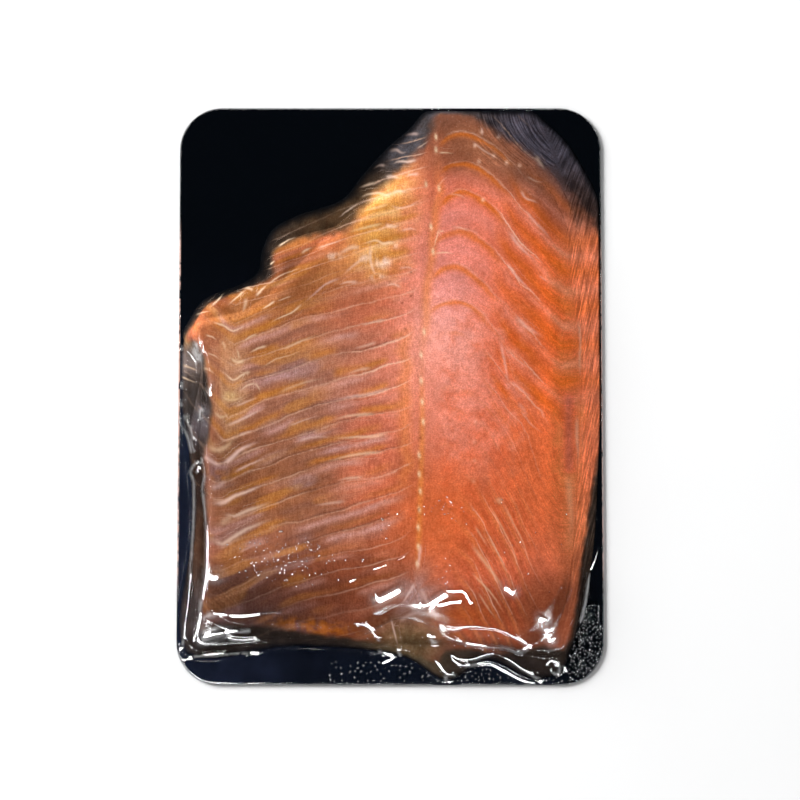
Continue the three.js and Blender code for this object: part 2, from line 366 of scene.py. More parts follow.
# pale connective strokes, drawn from their thick end: path, half width, strength, creaminess
STROKES = [
    # shoulder and neck, left of the backbone line
    ([(420, 135), (412, 135), (404, 137)], 1.5, 0.55, 0.0),
    ([(390, 152), (397, 151), (403, 154), (409, 153)], 1.5, 0.55, 0.1),
    ([(418, 150), (424, 146), (431, 141)], 0.8, 0.4, 0.3),
    ([(418, 161), (410, 163), (400, 163), (392, 166)], 1.4, 0.80, 0.2),
    ([(386, 167), (380, 167), (373, 171)], 1.2, 0.6, 0.1),
    ([(386, 179), (392, 178), (397, 179), (403, 181)], 1.6, 0.65, 0.2),
    ([(420, 176), (413, 176), (405, 179)], 1.5, 0.7, 0.1),
    ([(377, 184), (370, 186), (359, 190)], 1.2, 0.6, 0.4),
    ([(394, 193), (388, 197), (380, 195), (370, 196), (359, 200)], 1.3, 0.75, 0.5),
    ([(392, 194), (402, 193), (411, 195)], 1.4, 0.7, 0.2),
    ([(358, 206), (348, 213), (338, 221)], 0.9, 0.6, 0.3),
    ([(390, 206), (380, 209), (372, 211), (360, 215)], 1.3, 0.6, 0.8),
    ([(391, 207), (398, 210), (409, 209), (418, 204), (427, 199)], 1.1, 0.55, 0.1),
    ([(384, 226), (374, 228), (362, 231), (348, 235)], 1.5, 0.7, 0.9),
    ([(386, 227), (394, 229), (402, 227)], 1.7, 0.7, 0.3),
    ([(402, 233), (411, 231), (420, 233)], 1.2, 0.5, 0.2),
    ([(397, 246), (390, 245), (384, 246), (378, 243), (368, 245), (358, 248)], 1.3, 0.75, 0.6),
    ([(362, 250), (352, 250), (344, 254), (336, 259)], 2.2, 0.6, 0.4),
    ([(372, 249), (371, 258), (372, 266), (375, 275), (381, 281)], 1.5, 0.65, 0.3),
    ([(370, 257), (360, 264), (350, 272), (342, 280)], 1.6, 0.5, 0.2),
    ([(359, 285), (348, 285), (338, 288)], 1.3, 0.6, 0.2),
    ([(402, 290), (394, 287), (384, 290)], 1.2, 0.5, 0.2),
    ([(400, 271), (409, 270), (418, 274)], 1.0, 0.4, 0.1),
    # left shoulder
    ([(279, 249), (288, 243), (298, 239)], 1.0, 0.8, 0.2),
    ([(302, 256), (308, 252), (314, 250)], 1.4, 0.6, 0.2),
    ([(318, 251), (332, 246), (346, 242)], 1.0, 0.5, 0.3),
    ([(271, 267), (276, 263)], 1.0, 0.8, 0.2),
    ([(212, 309), (219, 303), (226, 294)], 1.1, 0.7, 0.0),
    ([(246, 293), (238, 300), (228, 309)], 1.1, 0.7, 0.1),
    ([(254, 293), (249, 291), (244, 292)], 1.5, 0.6, 0.2),
    ([(257, 299), (262, 293), (269, 287)], 1.4, 0.85, 0.1),
    ([(269, 287), (280, 279), (292, 274), (304, 270)], 0.9, 0.6, 0.1),
    ([(247, 301), (246, 308), (243, 316)], 2.0, 0.55, 0.4),
    ([(276, 304), (270, 308), (261, 313)], 1.1, 0.8, 0.1),
    ([(292, 299), (284, 302), (276, 305)], 0.8, 0.5, 0.1),
    ([(303, 307), (292, 316), (280, 321), (269, 327)], 1.0, 0.75, 0.0),
    ([(341, 281), (325, 288), (314, 298), (303, 307)], 1.1, 0.45, 0.0),
    ([(214, 325), (225, 329), (234, 334), (240, 332), (249, 324)], 1.1, 0.8, 0.2),
    ([(197, 318), (205, 315), (213, 314)], 0.9, 0.5, 0.1),
    ([(258, 337), (251, 340), (243, 346)], 1.1, 0.65, 0.1),
    ([(268, 349), (258, 352), (249, 357)], 1.3, 0.75, 0.1),
    ([(246, 364), (238, 365), (230, 359)], 1.9, 0.75, 0.6),
    ([(241, 363), (239, 355), (237, 349)], 1.2, 0.5, 0.6),
    ([(252, 374), (244, 378), (234, 383), (227, 377), (220, 372)], 1.3, 0.8, 0.3),
    ([(247, 377), (252, 374)], 1.9, 0.6, 0.2),
    ([(257, 386), (248, 389), (240, 396)], 1.2, 0.65, 0.1),
    ([(256, 386), (260, 391), (262, 396)], 1.1, 0.55, 0.1),
    ([(223, 344), (226, 350), (225, 355)], 1.6, 0.45, 0.6),
    ([(264, 370), (278, 362), (292, 358), (306, 352)], 0.9, 0.45, 0.2),
    # skin-side lines on the strip and flap at the left
    ([(207, 338), (213, 340), (219, 344)], 0.9, 0.7, 0.2),
    ([(207, 356), (214, 358), (222, 363)], 0.9, 0.6, 0.1),
    ([(205, 371), (212, 374), (218, 378)], 0.8, 0.5, 0.1),
    ([(184, 368), (192, 371), (203, 376)], 1.0, 0.75, 0.0),
    ([(182, 379), (190, 383), (201, 387)], 0.9, 0.6, 0.0),
    ([(200, 409), (205, 414)], 1.0, 0.5, 0.0),
    # where the belly's flake edges brighten towards the backbone line
    ([(390, 391), (380, 394.5), (365, 398), (350, 400), (330, 405)], 1.7, 0.55, 0.1),
    ([(377, 417), (365, 417.5), (350, 419), (330, 424)], 1.6, 0.50, 0.5),
    ([(390, 436), (375, 439.5), (360, 440), (345, 441), (330, 441)], 1.5, 0.60, 0.5),
    ([(385, 455), (370, 456), (355, 458), (337, 462), (322, 466)], 1.5, 0.55, 0.5),
    ([(365, 480), (350, 481), (335, 484)], 1.4, 0.45, 0.4),
    ([(347, 504), (330, 506), (312, 509)], 1.4, 0.35, 0.2),
    ([(372, 371), (360, 373), (346, 378)], 1.4, 0.45, 0.3),
    ([(378, 345), (366, 349), (352, 352)], 1.3, 0.45, 0.3),
    ([(386, 322), (374, 325), (360, 331)], 1.3, 0.40, 0.3),
    # left margin, tapering into the belly
    ([(222, 398), (230, 403), (240, 402), (248, 397)], 1.6, 0.35, 0.7),
    ([(236, 410), (248, 405), (262, 399)], 1.2, 0.5, 0.1),
    ([(216, 415), (222, 420), (233, 416)], 1.6, 0.45, 0.6),
    ([(228, 429), (240, 424), (252, 418), (262, 413), (270, 409)], 1.5, 0.65, 0.1),
    ([(240, 438), (250, 435), (258, 433)], 1.2, 0.5, 0.1),
    ([(209, 449), (219, 453), (230, 448), (238, 440)], 2.6, 0.45, 0.6),
    ([(206, 458), (213, 464), (222, 468), (228, 466)], 2.0, 0.6, 0.0),
    ([(224, 468), (232, 462), (242, 453), (252, 448), (264, 444)], 2.1, 0.85, 0.0),
    ([(236, 475), (250, 468), (262, 463), (270, 460)], 1.2, 0.55, 0.0),
    ([(212, 491), (220, 489), (230, 481)], 2.6, 0.35, 0.0),
    ([(214, 506), (226, 505), (236, 499), (250, 494), (262, 489), (271, 486)], 2.0, 0.75, 0.1),
    ([(226, 518), (237, 518), (250, 513), (262, 509), (276, 503)], 2.1, 0.70, 0.3),
    ([(222, 526), (232, 520), (240, 514)], 2.6, 0.35, 0.5),
    ([(214, 541), (224, 546), (236, 539), (248, 532), (262, 526), (277, 521)], 2.1, 0.70, 0.3),
    ([(240, 555), (256, 548), (272, 544)], 1.2, 0.3, 0.0),
    ([(290, 429), (306, 423), (322, 418)], 0.9, 0.4, 0.1),
    ([(298, 445), (310, 441), (326, 440), (338, 441)], 1.3, 0.35, 0.1),
    ([(280, 396), (296, 389), (312, 384), (330, 381)], 1.6, 0.35, 0.0),
    ([(284, 352), (300, 345), (322, 336)], 1.4, 0.35, 0.0),
    # the crest right of the backbone line
    ([(440, 231), (437, 242), (434, 253)], 0.8, 0.6, 0.6),
    ([(436, 256), (446, 255), (457, 257)], 0.8, 0.6, 0.6),
    ([(440, 154), (448, 154), (456, 155)], 0.8, 0.65, 0.6),
    ([(440, 234), (446, 233)], 0.9, 0.6, 0.6),
    ([(450, 196), (460, 197), (470, 203)], 0.9, 0.5, 0.4),
    ([(440, 187), (445, 181), (450, 178)], 0.8, 0.4, 0.4),
    ([(452, 229), (462, 230), (472, 236)], 0.8, 0.4, 0.4),
    # right of the crest
    ([(474, 143), (484, 151), (496, 158), (504, 162)], 0.9, 0.55, 0.2),
    ([(483, 128), (484, 138)], 1.0, 0.5, 0.1),
    ([(537, 157), (542, 165), (547, 172)], 1.9, 0.45, 0.3),
    ([(522, 192), (527, 200), (535, 203), (542, 206)], 1.2, 0.8, 0.2),
    ([(528, 178), (538, 183), (548, 184)], 0.9, 0.4, 0.3),
    ([(526, 212), (533, 221), (545, 233), (556, 247)], 1.5, 0.55, 0.1),
    ([(511, 234), (517, 244), (527, 255), (538, 264)], 1.5, 0.75, 0.1),
    ([(507, 264), (515, 276), (524, 286), (536, 297)], 1.4, 0.75, 0.1),
    ([(500, 215), (508, 225), (515, 232)], 0.8, 0.4, 0.2),
    ([(540, 278), (550, 286)], 0.9, 0.5, 0.2),
    ([(516, 318), (523, 326), (532, 333), (546, 341)], 2.4, 0.60, 0.1),
    ([(501, 344), (504, 358), (507, 375), (509, 392)], 1.5, 0.65, 0.1),
    ([(508, 386), (509, 394)], 2.6, 0.4, 0.0),
    ([(508, 352), (518, 363), (533, 373)], 1.0, 0.4, 0.3),
    ([(512, 384), (522, 393), (536, 403)], 1.1, 0.5, 0.1),
    ([(518, 405), (524, 413), (530, 422)], 2.0, 0.35, 0.1),
    ([(520, 412), (532, 428), (546, 438)], 1.0, 0.4, 0.2),
    ([(579, 322), (581, 345), (580, 368), (582, 386)], 1.4, 0.6, 0.5),
    ([(577, 418), (577, 440), (578, 460), (577, 472)], 1.6, 0.6, 0.4),
    ([(568, 478), (570, 505), (571, 530), (569, 545)], 3.0, 0.35, 0.6),
    ([(499, 500), (501, 508)], 3.2, 0.55, 0.0),
    # low fans
    ([(472, 547), (480, 558), (490, 571), (499, 584), (507, 600)], 1.8, 0.70, 0.0),
    ([(472, 575), (482, 585), (492, 596), (500, 608), (505, 617)], 1.0, 0.70, 0.0),
    ([(488, 538), (498, 556), (506, 574), (510, 585)], 0.9, 0.55, 0.0),
    ([(490, 508), (502, 530), (513, 552), (521, 582)], 0.9, 0.55, 0.0),
    ([(504, 506), (513, 525), (523, 545), (531, 572)], 0.9, 0.55, 0.0),
    ([(475, 528), (483, 541), (490, 552)], 1.1, 0.5, 0.1),
    ([(478, 594), (487, 608), (497, 622)], 0.9, 0.55, 0.0),
    ([(421, 546), (420, 560), (418, 574)], 1.6, 0.5, 0.0),
    ([(416, 584), (409, 596), (401, 608)], 1.3, 0.6, 0.0),
    ([(420, 588), (428, 604), (440, 624)], 2.4, 0.4, 0.0),
    ([(392, 620), (396, 636), (400, 650)], 0.9, 0.5, 0.1),
    ([(400, 622), (412, 616), (424, 612)], 2.0, 0.35, 0.0),
]
# where the stack is thick enough to look like flesh, in drawing units
BODY = [(436, 106), (470, 112), (494, 128), (530, 151), (556, 171), (580, 200), (596, 222), (612, 240), (613, 440), (599, 462),
        (592, 490), (587, 530), (582, 560), (578, 600), (571, 640), (562, 652), (540, 648), (500, 657), (470, 650), (447, 652),
        (438, 664), (425, 661), (403, 652), (381, 646), (350, 640), (325, 638), (290, 632), (262, 628), (215, 628), (203, 624),
        (204, 600), (208, 580), (209, 540), (206, 500), (205, 480), (204, 462), (209, 440), (213, 410), (208, 385), (204, 360),
        (196, 345), (182, 345), (186, 331), (194, 320), (203, 306), (220, 299), (245, 288), (266, 282), (274, 276), (268, 262),
        (273, 250), (295, 239), (324, 234), (347, 231), (358, 214), (370, 198), (383, 186), (397, 173), (413, 158), (426, 143),
        (430, 130)]
# tones of the flesh where it runs out thin over the black card
THIN_TINTS = [
    ("shoulder", 340, 215, 60, 40, -30, 0.9), ("neck", 400, 138, 30, 34, -40, 0.95), ("neck", 430, 112, 30, 10, 0, 0.9),
    ("margin", 545, 150, 80, 44, 45, 1.0), ("wedge", 588, 212, 14, 42, -28, 0.8), ("flap top", 186, 346, 14, 9, 0, 0.9),
    ("flap", 190, 367, 16, 18, 0, 0.9), ("flap low", 190, 402, 14, 20, 0, 0.9), ("flap light", 201, 430, 10, 22, 12, 0.9), ("side", 201, 540, 10, 80, 0, 0.97), ("side low", 199, 616, 14, 34, 8, 0.95), ("side top", 198, 492, 9, 26, 0, 0.95),
    ("low", 240, 648, 70, 14, 0, 0.8), ("olive", 406, 650, 44, 26, 8, 0.9), ("low", 520, 672, 60, 16, 12, 0.8),
]
THIN_TONE = {
    "shoulder": (72, 52, 34), "neck": (92, 88, 94), "margin": (66, 62, 71), "wedge": (50, 36, 32), "flap": (134, 118, 112), "flap top": (128, 94, 62), "flap low": (90, 80, 76),
    "flap light": (122, 112, 118), "side": (94, 64, 48), "side low": (122, 106, 104), "side top": (58, 42, 36), "low": (40, 34, 32), "olive": (96, 80, 58),
}


def uv_of(x, y, z=0.0):
    """Drawing units of a point of the pack in mm, as an eye 0.7 m above sees it."""
    return (x + (x - 3.1) * z / 698) / UNIT + 391.3, 397.2 - (y + (y + 48.6) * z / 698) / UNIT


def xy_of(u, v):
    return (u - 391.3) * UNIT, (397.2 - v) * UNIT


def layers_at(x, y):
    """For each slice, how far inside its outline, its share of full thickness, and how far it hides what is below."""
    right = smooth(35, 62, x) * smooth(-75, -45, y)
    top = smooth(45, 85, y)
    shoulder = smooth(25, 45, y) * smooth(10, -10, x)
    full_right = right * (1 - smooth(48, 66, y))
    out = []
    for loop, t, fd, full in zip(LOOPS, THIN, FADE, (0.50 + 0.42 * full_right, 0.62, 0.97)):
        d = depth_inside(loop, x, y)
        w = np.maximum(np.maximum(t["other"], t["right"] * right), t["top"] * top)
        g = np.maximum(fd["other"] + (fd["right"] - fd["other"]) * right, fd["top"] * top)
        g = g + 1.6 * shoulder
        rag = 0.75 + 0.6 * vnoise(x / 2.4, y / 2.4, 5)
        inside = d > -0.02
        out.append((d, smooth(-0.25, 1, d / w) ** 0.8 * inside, full * (1 - 0.35 * shoulder * (np.asarray(full) < 0.9)) * smooth(-0.3, 1, d / (g * rag)) * inside))
    return out


def strokes_at(u, v):
    """Signed distance to the nearest pale stroke, its half width, strength and creaminess."""
    sd, sh = np.full(u.shape, 6.0), np.ones(u.shape)
    sw, sc = np.zeros(u.shape), np.zeros(u.shape)
    for path, half, w, cream in STROKES:
        d, s = side_of(line_of(path), u, v, 7)
        near = (np.abs(d) < 5.5) & (np.abs(d) / half < np.abs(sd) / sh)
        sd = np.where(near, d, sd)
        sh = np.where(near, (1.0 if path[0][0] < 310 and path[0][1] < 400 else 1.2) * half * (1 - 0.5 * s), sh)
        a, b = path[0]
        w = w * (0.58 if a > 445 else 0.85 if a < 300 and b > 400 else 0.62 if b < 215 else 0.9 if b < 400 else 1)
        cream = max(cream, 0.7 if a > 445 and b > 480 else 0.5 if a < 310 and b < 400 else 0)
        sw = np.where(near, w * smooth(-0.05, 0.22, s) * smooth(1.01, 0.50, s), sw)
        sc = np.where(near, cream, sc)
    return clamp(sd, -6, 6), sh, sw, sc


def ellipses(c, u, v, rows, tones):
    for tone, cu, cv, ru, rv, turn, w in rows:
        a = np.radians(turn)
        du, dv = u - cu, v - cv
        x, y = (du * np.cos(a) + dv * np.sin(a)) / ru, (-du * np.sin(a) + dv * np.cos(a)) / rv
        c = mixc(c, tones[tone], w * np.exp(-((x * x + y * y) ** 1.5) * 0.9))
    return c


def paint(u, v, x, y, lay, layer):
    """Colour as seen (sRGB 0-255) of the flesh at a place, and what the shader draws on it.
    layer: 0 under, 1 middle, 2 top."""
    mid = midline(v)
    t = mid - u
    W = smooth(-4, 10, t)  # 1 on the belly side
    B = 1 - W
    sway = 0.16 * (vnoise(u / 30, v / 14, 6) - 0.5) + 0.06 * (vnoise(u / 9, v / 6, 9) - 0.5)
    L, R = left_flake(u, v), right_flake(u, v)
    m = np.where(t > 0, L, R) + sway
    n, f = np.floor(m), m - np.floor(m)
    turn = belly_vertex(v)
    bv = back_vertex(v)
    c = tints(u, v)

    # uneven tone, large to fine
    g1 = fbm(u / 26, v / 26, 1) - 0.5
    g2 = fbm(u / 7, v / 7, 6) - 0.5
    c = c * (1 + 0.16 * g1 + 0.13 * g2)[..., None]

    # belly flakes: pale and lilac under each edge, amber towards the next, broken along their length
    r1, r2 = hash1(n, 1), hash1(n, 2)
    s1 = vnoise(u / 30, n * 3.7, 2)
    s2 = vnoise(u / 27, n * 2.9, 7)
    s3 = vnoise(u / 34, n * 2.3, 4)
    inner = smooth(300, 350, u)
    belly = W * smooth(6, 36, t) * (1 - 0.55 * smooth(560, 620, v))
    c = mixc(c, (210, 158, 148), 0.72 * belly * bump(f, 0.18 + 0.16 * r1, 0.16) * smooth(0.30, 0.80, s1) * smooth(240, 290, v))
    c = mixc(c, (116, 76, 68), (0.34 - 0.14 * inner) * belly * bump(f, 0.48 + 0.14 * r2, 0.14) * smooth(0.4, 0.8, s3) * smooth(280, 340, v))
    c = mixc(c, (206, 128, 50), 0.62 * belly * bump(f, 0.80 - 0.10 * r2, 0.16) * smooth(0.35, 0.8, s2) * (1 - 0.70 * smooth(440, 560, v)))
    c = mixc(c, (96, 54, 42), 0.45 * belly * bump(f, 0.950, 0.032) * smooth(0.35, 0.75, s3) * smooth(300, 340, v))
    # patches of amber, lilac and grey drawn out along the flakes
    p1 = vnoise(m * 2.3 + 4, u / 30, 11)
    p2 = vnoise(m * 1.7 + 9, u / 36, 15)
    c = mixc(c, (206, 134, 60), 0.55 * belly * (1 - inner) * smooth(0.58, 0.85, p1))
    c = mixc(c, (172, 138, 142), 0.42 * belly * (1 - 0.6 * inner) * smooth(0.60, 0.88, p2) * smooth(330, 380, v))
    c = mixc(c, (226, 142, 108), 0.35 * belly * inner * smooth(0.55, 0.85, p1))

    # back flakes: beside the midline a deep orange band under each edge and pink below it,
    # farther out pale under the edge and orange below
    crest = 1 - smooth(300, 350, v)
    out = smooth(58, 82, -t)
    strong = np.maximum(crest * smooth(3, 12, -t), out * (1 - smooth(390, 450, v)))
    r3 = 0.35 + 0.65 * vnoise(u / 24, n * 2.1, 8)
    lined = B * strong * r3
    c = mixc(c, (222, 112, 34), 0.90 * lined * (1 - out) * bump(f, 0.12, 0.10))
    c = mixc(c, (238, 158, 150), 0.45 * lined * (1 - out) * bump(f, 0.55, 0.24) * smooth(150, 210, v))
    c = mixc(c, (238, 150, 126), 0.68 * lined * out * bump(f, 0.16, 0.13) * smooth(170, 220, v) * (1 - 0.5 * smooth(330, 400, v)))
    c = mixc(c, (212, 98, 30), 0.80 * lined * out * bump(f, 0.62, 0.22) * smooth(150, 230, v))
    low = B * smooth(470, 520, v) * smooth(30, 52, -t) * (1 - smooth(100, 120, -t))
    c = mixc(c, (226, 128, 70), 0.40 * low * bump(f, 0.14, 0.14))
    c = mixc(c, (186, 78, 42), 0.38 * low * bump(f, 0.6, 0.25))
    fin = fbm(u / 1.9, v / 1.9, 4, 2) - 0.5

    # mottled middle of the back, faint flakes in it
    zone = B * smooth(10, 26, -t) * (1 - smooth(92, 116, -t)) * smooth(280, 340, v)
    mot = fbm(u / 10, v / 10, 12, 4) - 0.5
    c = mixc(c, (242, 158, 140), 0.38 * zone * smooth(-0.10, 0.35, mot) * (1 - smooth(430, 520, v)))
    c = mixc(c, (222, 96, 52), 0.34 * zone * smooth(-0.05, 0.35, -mot) * (1 - smooth(470, 540, v)))
    c = c * (1 + 0.12 * fin * zone)[..., None]
    c = mixc(c, (236, 140, 96), 0.28 * zone * bump(f, 0.05, 0.09) * smooth(0.4, 0.7, vnoise(u / 14, v / 14, 1)))

    # gold fat at the shoulder
    gz = np.exp(-(((u - 384) / 30) ** 2 + ((v - 222) / 66) ** 2) ** 1.5)
    c = mixc(c, (240, 192, 122), 0.45 * gz * smooth(0.45, 0.8, vnoise(u / 12, v / 9, 13)))
    c = mixc(c, (216, 146, 62), 0.40 * gz * smooth(0.45, 0.8, vnoise(u / 9, v / 12, 10)))
    c = mixc(c, (238, 200, 158), 0.42 * gz * bump(f, 0.10, 0.11) * smooth(0.15, 0.6, s1))
    c = mixc(c, (196, 124, 48), 0.55 * gz * bump(f, 0.66, 0.20) * smooth(0.2, 0.7, s2))
    for cu, cv, ru, rv, w in ((394, 248, 7, 3, 0.6), (384, 265, 8, 6, 0.85), (378, 280, 8, 4, 0.7), (366, 261, 6, 4, 0.6), (334, 259, 10, 4, 0.65)):
        c = mixc(c, (248, 214, 196), w * np.exp(-((((u - cu) / ru) ** 2 + ((v - cv) / rv) ** 2) ** 1.5)) * smooth(0.2, 0.6, vnoise(u / 5, v / 5, 2)))

    # the dark fringe past the back flakes' ends
    fv = spline([(60, 520), (110, 540), (155, 556), (200, 566), (250, 567), (300, 572), (400, 582), (480, 576), (560, 568), (600, 562), (700, 552)], v)
    past = smooth(-8, 12, u - fv) * smooth(180, 240, v)
    c = mixc(c, (178, 104, 74), 0.40 * past)
    c = mixc(c, (150, 84, 78), 0.55 * B * bump(u, 569, 5.5) * smooth(392, 405, v) * (1 - smooth(470, 480, v)))
    c = mixc(c, (222, 140, 96), 0.45 * B * bump(u, 569, 5.0) * smooth(472, 486, v) * (1 - smooth(545, 560, v)))

    # the backbone side: an amber line with pale ticks
    wav = 5 * (vnoise(v / 16, v * 0, 3) - 0.5)
    c = mixc(c, (236, 146, 62), 0.50 * bump(t, -1.0, 3.0) * smooth(340, 440, v) * (1 - smooth(545, 585, v)))
    c = mixc(c, (222, 130, 58), 0.45 * bump(t, -3 + wav, 5) * (1 - smooth(300, 380, v)) * smooth(150, 200, v))
    c = mixc(c, (238, 140, 60), 0.35 * bump(t, 14 + 2 * wav, 7) * smooth(320, 350, v) * (1 - smooth(470, 500, v)))
    for a, b in TICKS:
        c = mixc(c, (252, 226, 186), 0.85 * np.exp(-(((u - a) / 1.5) ** 2 + ((v - b - 0.5 * (u - a)) / 3.2) ** 2)))
    for a, b in SIDE_TICKS:
        c = mixc(c, (250, 206, 180), (0.70 if b < 400 else 0.30) * np.exp(-(((u - a) / 1.9) ** 2 + ((v - b) / 2.2) ** 2)))

    # pale translucent knot at the foot of the midline
    ray = vnoise(np.arctan2(v - 592, u - 418) * 4.0, u * 0, 6)
    knot = np.exp(-((((u - 414) + 0.25 * (v - 600)) / 17) ** 2 + ((v - 602) / 28) ** 2)) * (0.45 + 0.8 * ray)
    c = mixc(c, (178, 146, 144), 0.90 * knot)
    veil = np.exp(-((((u - 434) / 16) ** 2 + ((v - 618) / 24) ** 2) ** 1.5))
    c = mixc(c, (164, 124, 118), 0.55 * veil * (0.4 + 0.8 * vnoise(u / 7, v / 7, 3)))
    foot = np.exp(-((((u - 408)) / 36) ** 2 + ((v - 644) / 25) ** 2) ** 1.5)
    c = mixc(c, mixc(np.zeros(c.shape) + np.asarray((98, 78, 52.0)), (146, 116, 84), smooth(0.35, 0.75, fbm(u / 13, v / 11, 9))), 0.92 * foot)
    c = mixc(c, (192, 92, 40), 0.55 * np.exp(-(((u - 466) / 28) ** 2 + ((v - 616) / 9) ** 2)))
    c = mixc(c, (196, 104, 22), 0.75 * np.exp(-((((u - 316) / 40) ** 2 + ((v - 628 - 0.10 * (u - 316)) / 8) ** 2) ** 1.5)) * smooth(0.2, 0.6, fbm(u / 6, v / 4, 3)))
    c = mixc(c, (46, 34, 30), 0.80 * np.exp(-((((u - 528) / 34) ** 2 + ((v - 664 - 0.45 * (u - 528)) / 11) ** 2) ** 1.5)))

    # pale margin at the left edge
    bz = smooth(6, -10, u - turn) * smooth(330, 350, v) * (1 - smooth(560, 590, v))
    c = mixc(c, (176, 130, 118), 0.40 * bz * smooth(430, 470, v))
    c = mixc(c, (206, 150, 104), 0.45 * smooth(18, 0, u - 238) * smooth(330, 350, v) * (1 - smooth(450, 480, v)) * smooth(0.45, 0.75, fbm(u / 8, v / 10, 4)))
    c = mixc(c, (232, 196, 130), 0.55 * np.exp(-(((u - 232) / 9) ** 2 + ((v - 399) / 6) ** 2)))
    c = mixc(c, (172, 112, 84), 0.60 * smooth(204, 208, u) * (1 - smooth(219, 224, u)) * smooth(336, 344, v) * (1 - smooth(396, 410, v)))
    c = mixc(c, (150, 116, 128), 0.55 * np.exp(-(((u - 219) / 12) ** 2 + ((v - 478) / 14) ** 2)) * smooth(0.2, 0.6, vnoise(u / 6, v / 6, 8)))

    for a, b in PINHOLES:
        c = mixc(c, (96, 40, 26), 0.70 * np.exp(-(((u - a) / 1.0) ** 2 + ((v - b) / 1.1) ** 2)))

    # thin flesh over the black card
    body = depth_inside(np.asarray(BODY, float), u, v)
    soft = 4 + 5 * smooth(320, 240, v)
    bod = smooth(-0.5, 1, body / soft + 0.5 * (vnoise(u / 5, v / 5, 7) - 0.5))
    o = 1 - (1 - lay[0][2]) * (1 - lay[1][2]) * (1 - lay[2][2])
    a = smooth(0.25, 0.80, o) * bod
    thin = ellipses(np.zeros(c.shape) + np.asarray((56, 46, 40.0)), u, v, THIN_TINTS, THIN_TONE)
    thin = thin * (0.86 + 0.28 * vnoise(u / 8, v / 8, 5))[..., None]
    c = mixc(thin, c, a)
    # the black card showing past thin flesh, with the navy painted reflection of the film towards the bottom and left
    card_painted_sheen = clamp(smooth(60, -100, y) + smooth(-55, -78, x) * smooth(30, -30, y)) * (1 - 0.85 * smooth(50, 66, x)) * (1 - 0.6 * smooth(-47, -31, x))
    card_painted_sheen = mixc(np.zeros(c.shape) + np.asarray((6, 8, 11.0)), (22, 27, 41), card_painted_sheen)
    c = mixc(card_painted_sheen, c, smooth(0, 0.40, o))

    # broad shade: left margin, low belly, neck, and the shoulder's cut edge
    for cu, cv, ru, rv, w in ((232, 495, 32, 66, 0.20), (270, 600, 90, 30, 0.22), (424, 148, 44, 34, 0.22), (268, 284, 80, 32, 0.20)):
        c = c * (1 - w * np.exp(-((((u - cu) / ru) ** 2 + ((v - cv) / rv) ** 2) ** 1.5)))[..., None]

    # painted light: the flesh on the right side and along the low right edge is brightened, standing in for lamp light
    # on slopes that face away from the key lamp
    painted_light_right = smooth(530, 564, u) * smooth(215, 262, v) * smooth(600, 545, v) * (0.6 + 0.4 * smooth(520, 470, v))
    painted_light_right = painted_light_right * (1 - 0.45 * smooth(582, 596, u))
    c = c * (1 + painted_light_right[..., None] * np.asarray((0.25, 0.21, 0.15)))
    painted_light_low = np.exp(-((((u - 492) / 60) ** 2 + ((v - 638) / 16) ** 2) ** 1.5))
    c = c * (1 + 0.18 * painted_light_low[..., None])

    # painted shade: the slices' left side, which faces the key lamp, is darkened, most along the top slice's cut edge
    painted_shade_left = smooth(3.4, 0.6, lay[2][0]) * smooth(-48, -56, x) * smooth(20, 6, y) if layer == 2 else smooth(-50, -58, x) * smooth(10, -6, y)
    c = c * (1 - (0.40 if layer == 2 else 0.30) * painted_shade_left)[..., None]

    # strengths of the crisp flake edges
    grow = 0.20 + 0.80 * smooth(0.3, 0.75, vnoise(u / 30, n * 5.3, 1))
    ls = W * smooth(4, 16, t) * (0.32 + 0.14 * smooth(285, 245, u) * (1 - smooth(560, 610, v)) + 0.40 * bump(u, 385, 26) * smooth(300, 340, v) * (1 - smooth(420, 500, v)))
    ls = ls * (1 - 0.6 * smooth(500, 550, v) * smooth(360, 320, u))
    ls = np.maximum(ls, 0.50 * gz)
    ls = ls * grow * (1 - 0.8 * smooth(3, -9, u - turn)) * (1 - 0.7 * smooth(575, 625, v))
    rs = B * (0.46 * out * (1 - 0.5 * smooth(400, 460, v)) * smooth(180, 230, v) + 0.46 * smooth(490, 520, v) * smooth(46, 60, -t) * (1 - smooth(100, 118, -t))
              + 0.26 * crest * smooth(6, 20, -t)) * (1 - smooth(-22, -8, u - bv))
    rs = rs * (0.15 + 0.85 * smooth(0.35, 0.75, vnoise(u / 22, n * 4.1, 6))) * (1 - smooth(600, 630, v))
    wide = 0.043 + 0.03 * smooth(274, 226, u) * smooth(400, 450, v) * W + 0.040 * gz * W - 0.008 * B

    # fine streaks: where across and along them, and how strong
    K = spline([(60, -60), (110, -37), (150, -18), (200, 0), (260, 14), (400, 44), (700, 108)], v)
    fringe = smooth(-4, 3, u - fv)
    neckline = (v < 168) & (u > 478) & (u < fv - 1)
    across = np.where(t > 0, m * 17.0, m * 25.0)
    along = np.where(t > 0, u, u + v)
    sweep = u - 0.0122 * np.maximum(v - 108, 0) ** 2
    across = np.where(neckline, sweep, across)
    across = np.where(fringe > 0.5, u + K, across)
    along = np.where((fringe > 0.5) | neckline, v, along)
    ss = 0.075 * belly + B * (0.11 * np.maximum(crest * 0.6, out) + 0.08 * low)
    ss = np.where(neckline, 0.26 + 0.5 * (1 - a), ss)
    ss = np.where(fringe > 0.5, 0.42 + 0.25 * (1 - a), ss)
    ss = ss * (1 - np.exp(-(((u - fv) / 3.0) ** 2))) * (1 - 0.6 * smooth(560, 620, v)) * (1 - 0.8 * (t > 60) * (1 - a))
